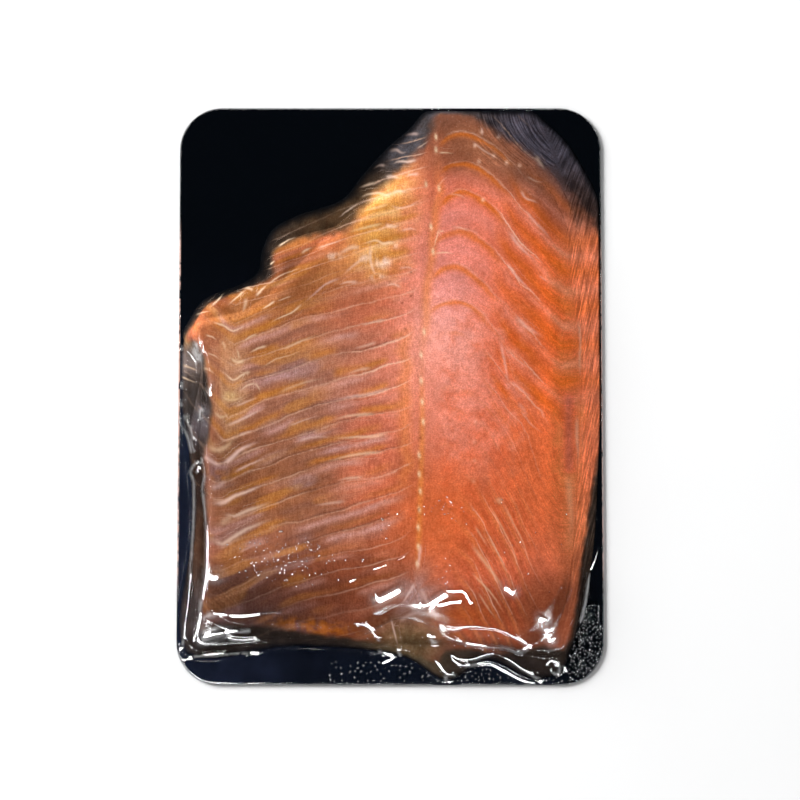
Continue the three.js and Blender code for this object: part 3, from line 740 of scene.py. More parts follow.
    # rising lines in the low left corner
    corner = smooth(252, 236, u) * smooth(576, 592, v)
    across = np.where(corner > 0, u - v, across)
    along = np.where(corner > 0, u + v, along)
    ss = np.where(corner > 0, 0.15 * corner, ss)
    sd, sh, sw, sc = strokes_at(u, v)
    marks = dict(myo=m, edge=clamp(ls + rs) * smooth(0.15, 0.6, o), wide=wide, across=across, along=along, streak=ss,
                 sd=sd, sh=sh, sw=sw * smooth(0.05, 0.35, o), sc=sc)
    return c, marks, o


# ---------------------------------------------------------------- the pack's measures, mm, as in the CAD
CARD_W, CARD_H, CARD_R, CARD_T = 150.0, 204.5, 15.0, 0.9
FILM_T = 0.12
FILM_SLOPE = 0.95
LIFT = 0.04  # the lowest slice lies just clear of the card


def inside_card(x, y):
    qx = np.abs(x) - (CARD_W / 2 - CARD_R)
    qy = np.abs(y) - (CARD_H / 2 - CARD_R)
    return CARD_R - np.hypot(np.maximum(qx, 0), np.maximum(qy, 0)) - np.minimum(np.maximum(qx, qy), 0)


def crown(x, y):
    return 0.93 + 0.17 * np.exp(-(((x - 30) / 34) ** 2) - ((y + 5) / 70) ** 2)


def slice_heights(x, y):
    """Thickness of each slice at a place, running out to nothing at its cut edge."""
    right = smooth(35, 62, x) * smooth(-75, -45, y)
    top = smooth(45, 85, y)
    shoulder = smooth(15, 35, y) * smooth(15, -10, x)
    k = crown(x, y)
    out = []
    for loop, t, thick in zip(LOOPS, THIN, THICK):
        d = depth_inside(loop, x, y)
        w = np.maximum(np.maximum(t["other"], t["right"] * right), np.maximum(t["top"] * top, t["shoulder"] * shoulder))
        w = w + (4.5 * smooth(-66, -78, y) if thick == THICK[2] else 0)
        q = clamp(d / w)
        out.append(thick * k * (1 - (1 - q) ** 2) ** (0.8 + 0.5 * smooth(5, 9, w)) * (0.90 + 0.10 * q))
    return out


def relief(x, y):
    """Low rolls of the flakes and soft waves in the flesh, mm."""
    u, v = uv_of(x, y, 5.0)
    t = midline(v) - u
    m = np.where(t > 0, left_flake(u, v), right_flake(u, v))
    f = m - np.floor(m)
    roll = np.sin(np.pi * f) ** 0.6 - 0.7
    far = smooth(5, 24, np.abs(t))
    return (0.07 * roll * far + 0.22 * (fbm(u / 42, v / 42, 7) - 0.5) + 0.05 * (fbm(u / 11, v / 11, 2) - 0.5)
            - 0.10 * bump(t, 0, 4) * smooth(540, 200, v))


# ---------------------------------------------------------------- meshes
def lattice(step, x0, x1, y0, y1):
    """Integer coordinates (p, q) and places of a triangular lattice over a box."""
    rows = np.arange(int(np.floor(y0 / (step * 0.8660254))), int(np.ceil(y1 / (step * 0.8660254))) + 1)
    p, q, x, y = [], [], [], []
    for r in rows:
        c = np.arange(int(np.floor(x0 / step - r / 2)), int(np.ceil(x1 / step - r / 2)) + 1)
        p.append(c)
        q.append(np.full(c.shape, r))
        x.append((c + r / 2) * step)
        y.append(np.full(c.shape, r * step * 0.8660254))
    return [np.concatenate(a) for a in (p, q, x, y)]


def finer(loop, step):
    """The same closed outline with a point about every step."""
    out = []
    for a, b in zip(loop, np.roll(loop, -1, 0)):
        n = max(1, int(round(np.hypot(*(b - a)) / step)))
        out.append(a + (b - a) * (np.arange(n) / n)[:, None])
    return np.concatenate(out)


def triangulate(loop, pts):
    """Triangles filling a closed outline through the points in it, outline first."""
    n = len(loop)
    co = [Vector((float(a), float(b))) for a, b in loop] + [Vector((float(a), float(b))) for a, b in pts]
    edges = [(i, (i + 1) % n) for i in range(n)]
    vo, _, fo, orig, _, _ = delaunay_2d_cdt(co, edges, [], 1, 1e-7, True)
    back = [o[0] if o else -1 for o in orig]
    tri = np.array([[back[i] for i in f] for f in fo if len(f) == 3 and min(back[i] for i in f) >= 0])
    c = np.array([[a[0], a[1]] for a in co])
    rim = np.flatnonzero((tri < n).all(1))  # only these can lie outside a hollow of the outline
    mid = c[tri[rim]].mean(1)
    tri = np.delete(tri, rim[depth_inside(np.asarray(loop, float), mid[:, 0], mid[:, 1]) < 0], 0)
    e1, e2 = c[tri[:, 1]] - c[tri[:, 0]], c[tri[:, 2]] - c[tri[:, 0]]
    flip = (e1[:, 0] * e2[:, 1] - e1[:, 1] * e2[:, 0]) < 0
    tri[flip] = tri[flip][:, ::-1]
    return tri


def make_mesh(name, co, tris, smooth_shade=True, mats=(), mat_index=None):
    me = bpy.data.meshes.new(name)
    co = np.asarray(co, np.float32) * MM
    tris = np.asarray(tris, np.int32)
    me.vertices.add(len(co))
    me.vertices.foreach_set("co", co.ravel())
    me.loops.add(tris.size)
    me.loops.foreach_set("vertex_index", tris.ravel())
    me.polygons.add(len(tris))
    me.polygons.foreach_set("loop_start", np.arange(0, tris.size, 3, dtype=np.int32))
    me.polygons.foreach_set("loop_total", np.full(len(tris), 3, np.int32))
    me.polygons.foreach_set("use_smooth", np.full(len(tris), smooth_shade))
    for m in mats:
        me.materials.append(m)
    if mat_index is not None:
        me.polygons.foreach_set("material_index", np.asarray(mat_index, np.int32))
    me.update(calc_edges=True)
    me.validate()
    ob = bpy.data.objects.new(name, me)
    bpy.context.scene.collection.objects.link(ob)
    return ob


def put(ob, name, values, kind="FLOAT"):
    a = ob.data.attributes.new(name, kind, "POINT")
    v = np.asarray(values, np.float32)
    if kind == "FLOAT_COLOR":
        v = np.concatenate([v, np.ones((len(v), 1), np.float32)], 1)
        a.data.foreach_set("color", v.ravel())
    else:
        a.data.foreach_set("value", v.ravel())


def linear(c):
    c = clamp(np.asarray(c, float) / 255)
    return np.where(c <= 0.04045, c / 12.92, ((c + 0.055) / 1.055) ** 2.4)


# ---------------------------------------------------------------- node trees
class Tree:
    def __init__(self, tree):
        self.t = tree
        self.n = tree.nodes
        self.n.clear()

    def add(self, kind, **props):
        node = self.n.new(kind)
        for k, v in props.items():
            setattr(node, k, v)
        return node

    def link(self, a, b):
        self.t.links.new(a, b)

    def set(self, socket, value):
        if isinstance(value, bpy.types.NodeSocket):
            self.link(value, socket)
        else:
            socket.default_value = value

    def math(self, op, a, b=None, c=None, clamp_it=False):
        node = self.add("ShaderNodeMath", operation=op, use_clamp=clamp_it)
        self.set(node.inputs[0], a)
        if b is not None:
            self.set(node.inputs[1], b)
        if c is not None:
            self.set(node.inputs[2], c)
        return node.outputs[0]

    def mix(self, fac, a, b, how="MIX"):
        node = self.add("ShaderNodeMix", data_type="RGBA", blend_type=how)
        self.set(node.inputs[0], fac)
        self.set(node.inputs[6], a)
        self.set(node.inputs[7], b)
        return node.outputs[2]

    def attr(self, name, colour=False):
        node = self.add("ShaderNodeAttribute", attribute_name=name)
        return node.outputs["Color" if colour else "Fac"]

    def place(self):
        return self.add("ShaderNodeTexCoord").outputs["Object"]

    def noise(self, where, size_mm, detail=2.0, rough=0.5, stretch=(1, 1, 1), turn=0.0, lump=0.0):
        m = self.add("ShaderNodeMapping")
        self.link(where, m.inputs["Vector"])
        s = 1 / (size_mm * MM)
        m.inputs["Scale"].default_value = [s * a for a in stretch]
        m.inputs["Rotation"].default_value = (0, 0, math.radians(turn))
        n = self.add("ShaderNodeTexNoise")
        self.link(m.outputs[0], n.inputs["Vector"])
        n.inputs["Scale"].default_value = 1.0
        n.inputs["Detail"].default_value = detail
        n.inputs["Roughness"].default_value = rough
        n.inputs["Distortion"].default_value = lump
        return n.outputs[0]

    def ramp(self, v, a, b, lo=0.0, hi=1.0, soft=True):
        node = self.add("ShaderNodeMapRange", interpolation_type="SMOOTHSTEP" if soft else "LINEAR")
        self.set(node.inputs[0], v)
        for i, x in zip((1, 2, 3, 4), (a, b, lo, hi)):
            self.set(node.inputs[i], x)
        return node.outputs[0]

    def bump(self, height, mm, strength=1.0, under=None):
        node = self.add("ShaderNodeBump")
        node.inputs["Strength"].default_value = strength
        node.inputs["Distance"].default_value = mm * MM
        self.link(height, node.inputs["Height"])
        if under is not None:
            self.link(under, node.inputs["Normal"])
        return node.outputs[0]

    def out(self, shader):
        o = self.add("ShaderNodeOutputMaterial")
        self.link(shader, o.inputs["Surface"])


def material(name):
    m = bpy.data.materials.new(name)
    m.use_nodes = True
    return m, Tree(m.node_tree)


LIGHT_ON_FLESH = 1.39  # how much brighter than its own colour the lamps show a flat surface


def flesh_material():
    m, t = material("trout_flesh")
    p = t.place()
    tone = t.attr("tone", True)
    edge, myo, wide = t.attr("edge"), t.attr("myo"), t.attr("wide")
    wob = t.math("SUBTRACT", t.noise(p, 1.1, 3), 0.5)
    mm = t.math("ADD", myo, t.math("MULTIPLY", wob, 0.10))
    f = t.math("FRACT", mm)
    d = t.math("MINIMUM", f, t.math("SUBTRACT", 1.0, f))
    w = t.math("MULTIPLY", wide, t.ramp(t.noise(p, 3.0, 2), 0.3, 0.7, 0.55, 1.35, False))
    q = t.math("DIVIDE", d, w)
    line = t.math("MULTIPLY", edge, t.math("POWER", 2.718, t.math("MULTIPLY", t.math("MULTIPLY", q, q), -1.0)))
    # strokes of connective tissue, listed one by one
    sq = t.math("DIVIDE", t.math("ADD", t.attr("sd"), t.math("MULTIPLY", wob, 1.5)), t.attr("sh"))
    stroke = t.math("MULTIPLY", t.attr("sw"), t.math("POWER", 2.718, t.math("MULTIPLY", t.math("MULTIPLY", sq, sq), -1.0)))
    # fine streaks along or across the flakes
    lie = t.add("ShaderNodeCombineXYZ")
    t.link(t.math("DIVIDE", t.attr("across"), 2.3), lie.inputs[0])
    t.link(t.math("DIVIDE", t.attr("along"), 30.0), lie.inputs[1])
    hair = t.add("ShaderNodeTexNoise")
    t.link(lie.outputs[0], hair.inputs["Vector"])
    hair.inputs["Scale"].default_value = 1.0
    hair.inputs["Detail"].default_value = 2.5
    hair.inputs["Roughness"].default_value = 0.6
    swing = t.math("SUBTRACT", t.ramp(hair.outputs[0], 0.30, 0.72, 0.0, 2.0), 0.9)
    streak = t.math("POWER", 2.718, t.math("MULTIPLY", swing, t.math("MULTIPLY", t.attr("streak"), 1.15)))
    blot = t.noise(p, 2.1, 4, 0.62)
    tone = t.mix(t.ramp(blot, 0.30, 0.70), t.mix(1.0, tone, (0.94, 0.90, 0.87, 1), "MULTIPLY"),
                 t.mix(1.0, tone, (1.06, 1.10, 1.13, 1), "MULTIPLY"))
    grain = t.noise(p, 0.62, 3, 0.6)
    c = t.mix(t.ramp(grain, 0.30, 0.72), t.mix(1.0, tone, (0.84, 0.80, 0.78, 1), "MULTIPLY"),
              t.mix(1.0, tone, (1.14, 1.18, 1.22, 1), "MULTIPLY"))
    c = t.mix(t.ramp(t.noise(p, 0.36, 1), 0.28, 0.72), t.mix(1.0, c, (0.90, 0.88, 0.88, 1), "MULTIPLY"),
              t.mix(1.0, c, (1.09, 1.10, 1.10, 1), "MULTIPLY"))
    fibre = t.noise(p, 0.46, 2, 0.5, (1.0, 0.15, 1), 20, 0.3)
    fibred = t.mix(t.ramp(fibre, 0.30, 0.70), t.mix(1.0, c, (0.91, 0.87, 0.85, 1), "MULTIPLY"),
                   t.mix(1.0, c, (1.07, 1.11, 1.13, 1), "MULTIPLY"))
    where = t.add("ShaderNodeSeparateXYZ")
    t.link(p, where.inputs[0])
    belly = t.ramp(where.outputs[0], 0.002, 0.016, 1.0, 0.25)
    c = t.mix(belly, c, fibred)
    c = t.mix(t.ramp(fibre, 0.45, 0.80, 0.0, 0.16), c, t.mix(1.0, tone, (1.35, 1.4, 1.45, 1), "MULTIPLY"))
    grey = t.add("ShaderNodeCombineXYZ")
    for i in range(3):
        t.link(streak, grey.inputs[i])
    c = t.mix(1.0, c, grey.outputs[0], "MULTIPLY")
    pale = list(linear((244, 200, 172)) * 0.85) + [1]
    cream = t.mix(t.attr("sc"), list(linear((240, 206, 196)) * 0.85) + [1], list(linear((246, 216, 158)) * 0.85) + [1])
    c = t.mix(t.math("MULTIPLY", line, 0.82), c, pale)
    c = t.mix(t.math("MULTIPLY", stroke, 0.78), c, cream)
    s = t.add("ShaderNodeBsdfPrincipled")
    t.link(c, s.inputs["Base Color"])
    t.link(t.ramp(t.noise(p, 2.2, 2), 0.3, 0.7, 0.36, 0.52), s.inputs["Roughness"])
    s.inputs["Specular IOR Level"].default_value = 0.0
    h = t.math("ADD", t.math("MULTIPLY", line, -0.5), t.math("MULTIPLY", grain, 0.35))
    h = t.math("ADD", h, t.math("MULTIPLY", fibre, 0.25))
    t.link(t.bump(h, 0.10, 0.5), s.inputs["Normal"])
    t.out(s.outputs[0])
    return m


def film_material(inner=False):
    m, t = material("clear_film_inner" if inner else "clear_film")
    clear = t.add("ShaderNodeBsdfTransparent")
    clear.inputs[0].default_value = (0.985, 0.985, 0.985, 1)
    p = t.place()
    if inner:
        t.link(t.mix(t.noise(p, 5.0, 2), (0.99, 0.99, 0.99, 1), (0.975, 0.98, 0.985, 1)), clear.inputs[0])
        t.out(clear.outputs[0])
        return m
    g = t.add("ShaderNodeBsdfGlossy")
    t.link(t.attr("haze"), g.inputs["Roughness"])
    t.link(t.bump(t.noise(p, 1.6, 3, 0.55), 0.02, 0.35), g.inputs["Normal"])
    fr = t.add("ShaderNodeFresnel")
    fr.inputs["IOR"].default_value = 1.55
    broken = t.ramp(t.noise(p, 1.3, 3, 0.6), 0.30, 0.55, 0.35, 1.0)
    f = t.math("MULTIPLY", t.math("MULTIPLY", fr.outputs[0], t.attr("gloss")), broken)
    f = t.math("MINIMUM", f, 0.5)
    f = t.math("MULTIPLY", f, t.math("SUBTRACT", 1.0, t.add("ShaderNodeLightPath").outputs["Is Shadow Ray"]))
    mixer = t.add("ShaderNodeMixShader")
    t.set(mixer.inputs[0], f)
    t.link(clear.outputs[0], mixer.inputs[1])
    t.link(g.outputs[0], mixer.inputs[2])
    t.out(mixer.outputs[0])
    return m


def card_material():
    m, t = material("black_laminate")
    p = t.place()
    xyz = t.add("ShaderNodeSeparateXYZ")
    t.link(p, xyz.inputs[0])
    x, y, z = xyz.outputs
    # painted reflection: a navy sheen of the film is painted into the board's colour towards the bottom and along the
    # lower left edge, weaker to the right
    black = list(linear((3, 5, 8))) + [1]
    painted_reflection_navy = list(linear((22, 27, 42))) + [1]
    painted_reflection_fade = t.math("ADD", t.ramp(y, 0.06, -0.10), t.math("MULTIPLY", t.ramp(x, -0.055, -0.078), t.ramp(y, 0.03, -0.03)), clamp_it=True)
    painted_reflection_fade = t.math("MULTIPLY", painted_reflection_fade, t.ramp(t.noise(p, 9, 3), 0.3, 0.7, 0.55, 1.0))
    painted_reflection_fade = t.math("MULTIPLY", painted_reflection_fade, t.ramp(x, 0.050, 0.066, 1.0, 0.15))
    painted_reflection_fade = t.math("MULTIPLY", painted_reflection_fade, t.ramp(x, -0.047, -0.031, 1.0, 0.40))
    c = t.mix(painted_reflection_fade, black, painted_reflection_navy)
    # bare board shows along the long cut edges, unevenly
    side = t.ramp(t.math("ABSOLUTE", t.math("SUBTRACT", x, 0.00012)), 0.07445, 0.07470)
    along = t.ramp(t.math("ABSOLUTE", t.math("ADD", y, 0.004)), 0.068, 0.052)
    ragged = t.ramp(t.noise(p, 2.5, 3, 0.6, (1, 1, 4)), 0.38, 0.52)
    kraft = t.mix(t.noise(p, 0.5, 3), list(linear((150, 112, 100))) + [1], list(linear((206, 172, 160))) + [1])
    core = t.math("MULTIPLY", t.math("MULTIPLY", side, along), ragged)
    c = t.mix(core, c, kraft)
    s = t.add("ShaderNodeBsdfPrincipled")
    t.link(c, s.inputs["Base Color"])
    t.link(t.ramp(core, 0, 1, 0.09, 0.8), s.inputs["Roughness"])
    s.inputs["Specular IOR Level"].default_value = 0.10
    t.link(t.bump(t.noise(p, 1.2, 3), 0.02, 0.4), s.inputs["Normal"])
    t.out(s.outputs[0])
    return m


def bead_material(name, ior, rough, part=1.0):
    m, t = material(name)
    clear = t.add("ShaderNodeBsdfTransparent")
    clear.inputs[0].default_value = (0.97, 0.97, 0.97, 1)
    g = t.add("ShaderNodeBsdfGlossy")
    t.link(t.ramp(t.noise(t.place(), 1.0, 2), 0.3, 0.7, rough * 0.6, rough * 1.4), g.inputs["Roughness"])
    fr = t.add("ShaderNodeFresnel")
    fr.inputs["IOR"].default_value = ior
    mixer = t.add("ShaderNodeMixShader")
    t.link(t.math("MULTIPLY", fr.outputs[0], part), mixer.inputs[0])
    t.link(clear.outputs[0], mixer.inputs[1])
    t.link(g.outputs[0], mixer.inputs[2])
    t.out(mixer.outputs[0])
    return m


# ---------------------------------------------------------------- slices
flesh = flesh_material()


def slice_piece(name, layer, step, under_step, fine=None):
    """One slice, closed, meeting its underside in a thin cut edge. fine: where its top needs the small step."""
    loop = finer(LOOPS[layer], step)
    _, _, x, y = lattice(step, -75, 75, -102, 102)
    near = depth_inside(LOOPS[layer], x, y)
    keep = near > 0.42 * step
    x, y, near = x[keep], y[keep], near[keep]
    if fine is not None:
        p, q, x, y = lattice(step, -75, 75, -102, 102)
        near = depth_inside(LOOPS[layer], x, y)
        want = (near > 0.42 * step) & (fine(x, y) | ((p % 4 == 0) & (q % 4 == 0)))
        x, y = x[want], y[want]
    top_pts = np.stack([x, y], 1)
    _, _, bx, by = lattice(under_step, -75, 75, -102, 102)
    keep = depth_inside(LOOPS[layer], bx, by) > 0.5 * under_step
    low_pts = np.stack([bx[keep], by[keep]], 1)
    tt = triangulate(loop, top_pts)
    lt = triangulate(loop, low_pts)
    n, nt = len(loop), len(top_pts)
    allx = np.concatenate([loop[:, 0], x, low_pts[:, 0]])
    ally = np.concatenate([loop[:, 1], y, low_pts[:, 1]])
    hs = slice_heights(allx, ally)
    waves = relief(allx, ally)
    low_sum = sum(hs[:layer]) if layer else np.zeros(allx.shape)
    below = CARD_T + LIFT + low_sum + waves * smooth(0, 1.0, low_sum)
    z = np.maximum(CARD_T + LIFT + low_sum + hs[layer] + waves * smooth(0, 1.0, low_sum + hs[layer]), below) + 0.02
    z[:n] = below[:n] - 0.03  # cut edges and undersides settle into the slice below
    z[n + nt:] = below[n + nt:] - 0.02
    lt = lt.copy()
    lt[lt >= n] += nt
    tris = np.concatenate([tt, lt[:, ::-1]])
    ob = make_mesh(name, np.stack([allx, ally, z], 1), tris, mats=[flesh])
    u, v = uv_of(allx, ally, z)
    lay = layers_at(allx, ally)
    c, marks, _ = paint(u, v, allx, ally, lay, layer)
    put(ob, "tone", linear(c) / LIGHT_ON_FLESH, "FLOAT_COLOR")
    for key_, values in marks.items():
        put(ob, key_, values)
    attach(ob, "root")
    return ob


def showing(layer):
    """Where a lower slice shows past the slices over it."""
    def test(x, y):
        over = np.full(np.shape(x), -99.0)
        for k in range(layer + 1, 3):
            over = np.maximum(over, depth_inside(LOOPS[k], x, y))
        return over < 3.0
    return test


slices = [
    slice_piece("slice_bottom", 0, 0.6, 2.4, showing(0)),
    slice_piece("slice_middle", 1, 0.6, 2.4, showing(1)),
    slice_piece("slice_top", 2, 0.54, 2.0),
]

# ---------------------------------------------------------------- film
CELL = 0.5
GX = np.arange(-76, 76.01, CELL)
GY = np.arange(-103.5, 103.51, CELL)


def film_raster():
    gx, gy = np.meshgrid(GX, GY)
    h = sum(slice_heights(gx, gy))
    tent = h.copy()
    reach = 13
    pad = np.pad(h, reach)
    ny, nx = h.shape
    for dj in range(-reach, reach + 1):
        for di in range(-reach, reach + 1):
            far = math.hypot(di, dj)
            if 0 < far <= reach:
                tent = np.maximum(tent, pad[reach + dj:reach + dj + ny, reach + di:reach + di + nx] - FILM_SLOPE * CELL * far)
    tent = np.maximum(tent, 0)
    k = np.exp(-0.5 * (np.arange(-5, 6) * CELL / 0.75) ** 2)
    k /= k.sum()
    for axis in (0, 1):
        tent = np.apply_along_axis(lambda r: np.convolve(np.pad(r, 5, mode="edge"), k, "valid"), axis, tent)
    return tent


def raster_at(grid, x, y):
    """Cubic B-spline through the raster, smooth in slope and curvature."""
    fx, fy = (x - GX[0]) / CELL, (y - GY[0]) / CELL
    i, j = np.floor(fx).astype(int), np.floor(fy).astype(int)
    a, b = fx - i, fy - j
    wx = [(1 - a) ** 3 / 6, (3 * a**3 - 6 * a**2 + 4) / 6, (-3 * a**3 + 3 * a**2 + 3 * a + 1) / 6, a**3 / 6]
    wy = [(1 - b) ** 3 / 6, (3 * b**3 - 6 * b**2 + 4) / 6, (-3 * b**3 + 3 * b**2 + 3 * b + 1) / 6, b**3 / 6]
    ny, nx = grid.shape
    out = np.zeros(np.shape(x))
    for dj in range(4):
        for di in range(4):
            out += wx[di] * wy[dj] * grid[clamp(j + dj - 1, 0, ny - 1).astype(int), clamp(i + di - 1, 0, nx - 1).astype(int)]
    return out


# creases: path in drawing units, height and half width in mm, softness of the glint
CREASES = [
    # left margin
    ([(181, 418), (186, 432), (190, 441), (193, 455)], 0.17, 0.38, 0),
    ([(187, 420), (193, 432), (195, 441)], 0.22, 0.45, 0),
    ([(193, 444), (196, 453)], 0.20, 0.42, 0),
    ([(192, 475), (195, 482), (196, 500), (196, 520), (195, 540), (194, 560), (193, 580), (192, 600), (190, 615), (188, 630), (186, 645), (183, 656)], 0.15, 0.36, 0),
    ([(204, 462), (207, 474), (205, 490), (206, 505)], 0.14, 0.38, 0),
    ([(206, 503), (208, 520), (209, 540), (209, 562), (208, 580), (206, 594), (204, 606)], 0.15, 0.36, 0),
    ([(203, 603), (203, 615), (200, 630), (198, 642)], 0.18, 0.42, 0),
    ([(198, 348), (197, 356), (200, 362)], 0.34, 1.0, 0.16),
    ([(206, 342), (205, 350), (201, 359)], 0.28, 0.55, 0.02),
    ([(214, 386), (211, 396)], 0.24, 0.70, 0.14),
    ([(216, 385), (213, 398)], 0.20, 0.45, 0),
    ([(203, 413), (202, 421)], 0.24, 0.70, 0.14),
    ([(180, 404), (182, 408)], 0.34, 0.60, 0.03),
    ([(183, 386), (183, 390)], 0.24, 0.50, 0.03),
    ([(192, 475), (196, 468), (199, 465)], 0.14, 0.38, 0),
    ([(199, 475), (203, 465)], 0.12, 0.36, 0),
    ([(179, 345), (183, 352)], 0.12, 0.38, 0),
    # lower left
    ([(214, 577), (220, 577)], 0.48, 1.45, 0.15),
    ([(207, 621), (214, 616), (224, 614)], 0.38, 0.90, 0.09),
    ([(226, 615), (229, 615)], 0.32, 0.60, 0.03),
    ([(233, 616), (246, 616), (262, 614)], 0.30, 0.66, 0.03),
    ([(264, 614), (283, 613)], 0.12, 0.50, 0.05),
    ([(205, 640), (213, 637), (228, 633)], 0.44, 1.05, 0.11),
    ([(234, 633), (251, 632)], 0.24, 0.50, 0.02),
    ([(233, 640), (245, 641), (257, 640)], 0.26, 0.52, 0.02),
    ([(186, 660), (200, 657), (215, 656), (230, 655)], 0.14, 0.36, 0),
    ([(234, 654), (241, 654)], 0.14, 0.38, 0),
    ([(246, 654), (260, 654)], 0.14, 0.38, 0),
    ([(179, 650), (184, 662), (192, 672), (205, 680), (220, 682.5), (238, 683)], 0.12, 0.38, 0),
    ([(252, 683), (262, 683)], 0.12, 0.38, 0),
    ([(183, 656), (180, 650)], 0.14, 0.38, 0),
    # foot of the midline
    ([(378, 600), (389, 595), (400, 589)], 0.50, 1.45, 0.16),
    ([(374, 571), (388, 566)], 0.16, 0.30, 0),
    ([(350, 583), (358, 580)], 0.16, 0.30, 0),
    ([(397, 562), (406, 558)], 0.14, 0.29, 0),
    ([(360, 625), (367, 627), (375, 633), (380, 641)], 0.20, 0.44, 0),
    ([(381, 652), (387, 655), (394, 657), (388, 661), (383, 663)], 0.20, 0.42, 0),
    ([(399, 651), (401, 656)], 0.18, 0.42, 0),
    ([(422, 608), (431, 603), (440, 597), (446, 593)], 0.55, 1.55, 0.16),
    ([(444, 592), (454, 592), (463, 592), (468, 597), (472, 605)], 0.28, 0.60, 0.02),
    ([(438, 606), (450, 603), (461, 602)], 0.30, 0.72, 0.07),
    ([(506, 588), (514, 593)], 0.42, 1.15, 0.15),
    # eye-shaped loop and the creases below it
    ([(441, 628), (449, 630), (455, 631), (465, 628), (480, 628), (500, 631), (515, 639), (525, 645), (529, 648)], 0.26, 0.46, 0),
    ([(529, 647), (523, 652), (505, 649), (480, 647), (460, 643), (447, 637), (441, 628)], 0.36, 0.50, 0),
    ([(431, 634), (433, 641), (435, 644)], 0.34, 0.80, 0.06),
    ([(451, 655), (460, 659), (475, 659), (484, 656), (491, 654)], 0.26, 0.52, 0),
    ([(451, 656), (458, 663), (464, 666), (476, 665), (490, 664), (505, 671), (525, 681), (535, 683)], 0.22, 0.44, 0),
    ([(507, 659), (520, 668), (532, 676), (538, 680), (541, 686)], 0.22, 0.44, 0),
    ([(437, 661), (443, 668), (447, 674), (454, 675)], 0.22, 0.48, 0),
    ([(447, 674), (446, 680), (450, 683)], 0.22, 0.48, 0),
    ([(539, 618), (546, 622)], 0.28, 0.95, 0.16),
    ([(548, 634), (551, 641)], 0.36, 1.20, 0.18),
    ([(545, 665), (549, 661), (555, 662), (558, 668), (557, 675), (551, 672)], 0.20, 0.42, 0),
    ([(563, 668), (565, 671)], 0.20, 0.42, 0),
    # right margin
    ([(594, 513), (596, 522)], 0.12, 0.38, 0),
    ([(597, 550), (593, 562), (590, 570)], 0.12, 0.38, 0),
    ([(588, 575), (585, 600), (580, 622)], 0.12, 0.40, 0.02),
]


def creases_at(u, v):
    """Height of the creases at a place, mm, how near one is, 0 to 1, the softness of its glint, and the veil round it."""
    h = np.zeros(np.shape(u))
    near = np.zeros(np.shape(u))
    softness = np.zeros(np.shape(u))
    veil = np.zeros(np.shape(u))
    for path, high, half, soft in CREASES:
        d, s = near_path(line_of(path), u, v, 16)
        d = d * UNIT
        ends = smooth(0, 0.10, s + 0.04) * smooth(1, 0.90, s - 0.04)
        h = np.maximum(h, high * ends * np.exp(-((d / half) ** 2)))
        here = np.exp(-((d / (half * 1.25)) ** 2))
        softness = np.maximum(softness, soft * np.exp(-((d / (half * 1.6)) ** 2)))
        near = np.maximum(near, here)
        if soft > 0.1:
            veil = np.maximum(veil, np.exp(-((d / (half * 3.2)) ** 2)))
    return h, near, softness, veil


film_grid = film_raster()


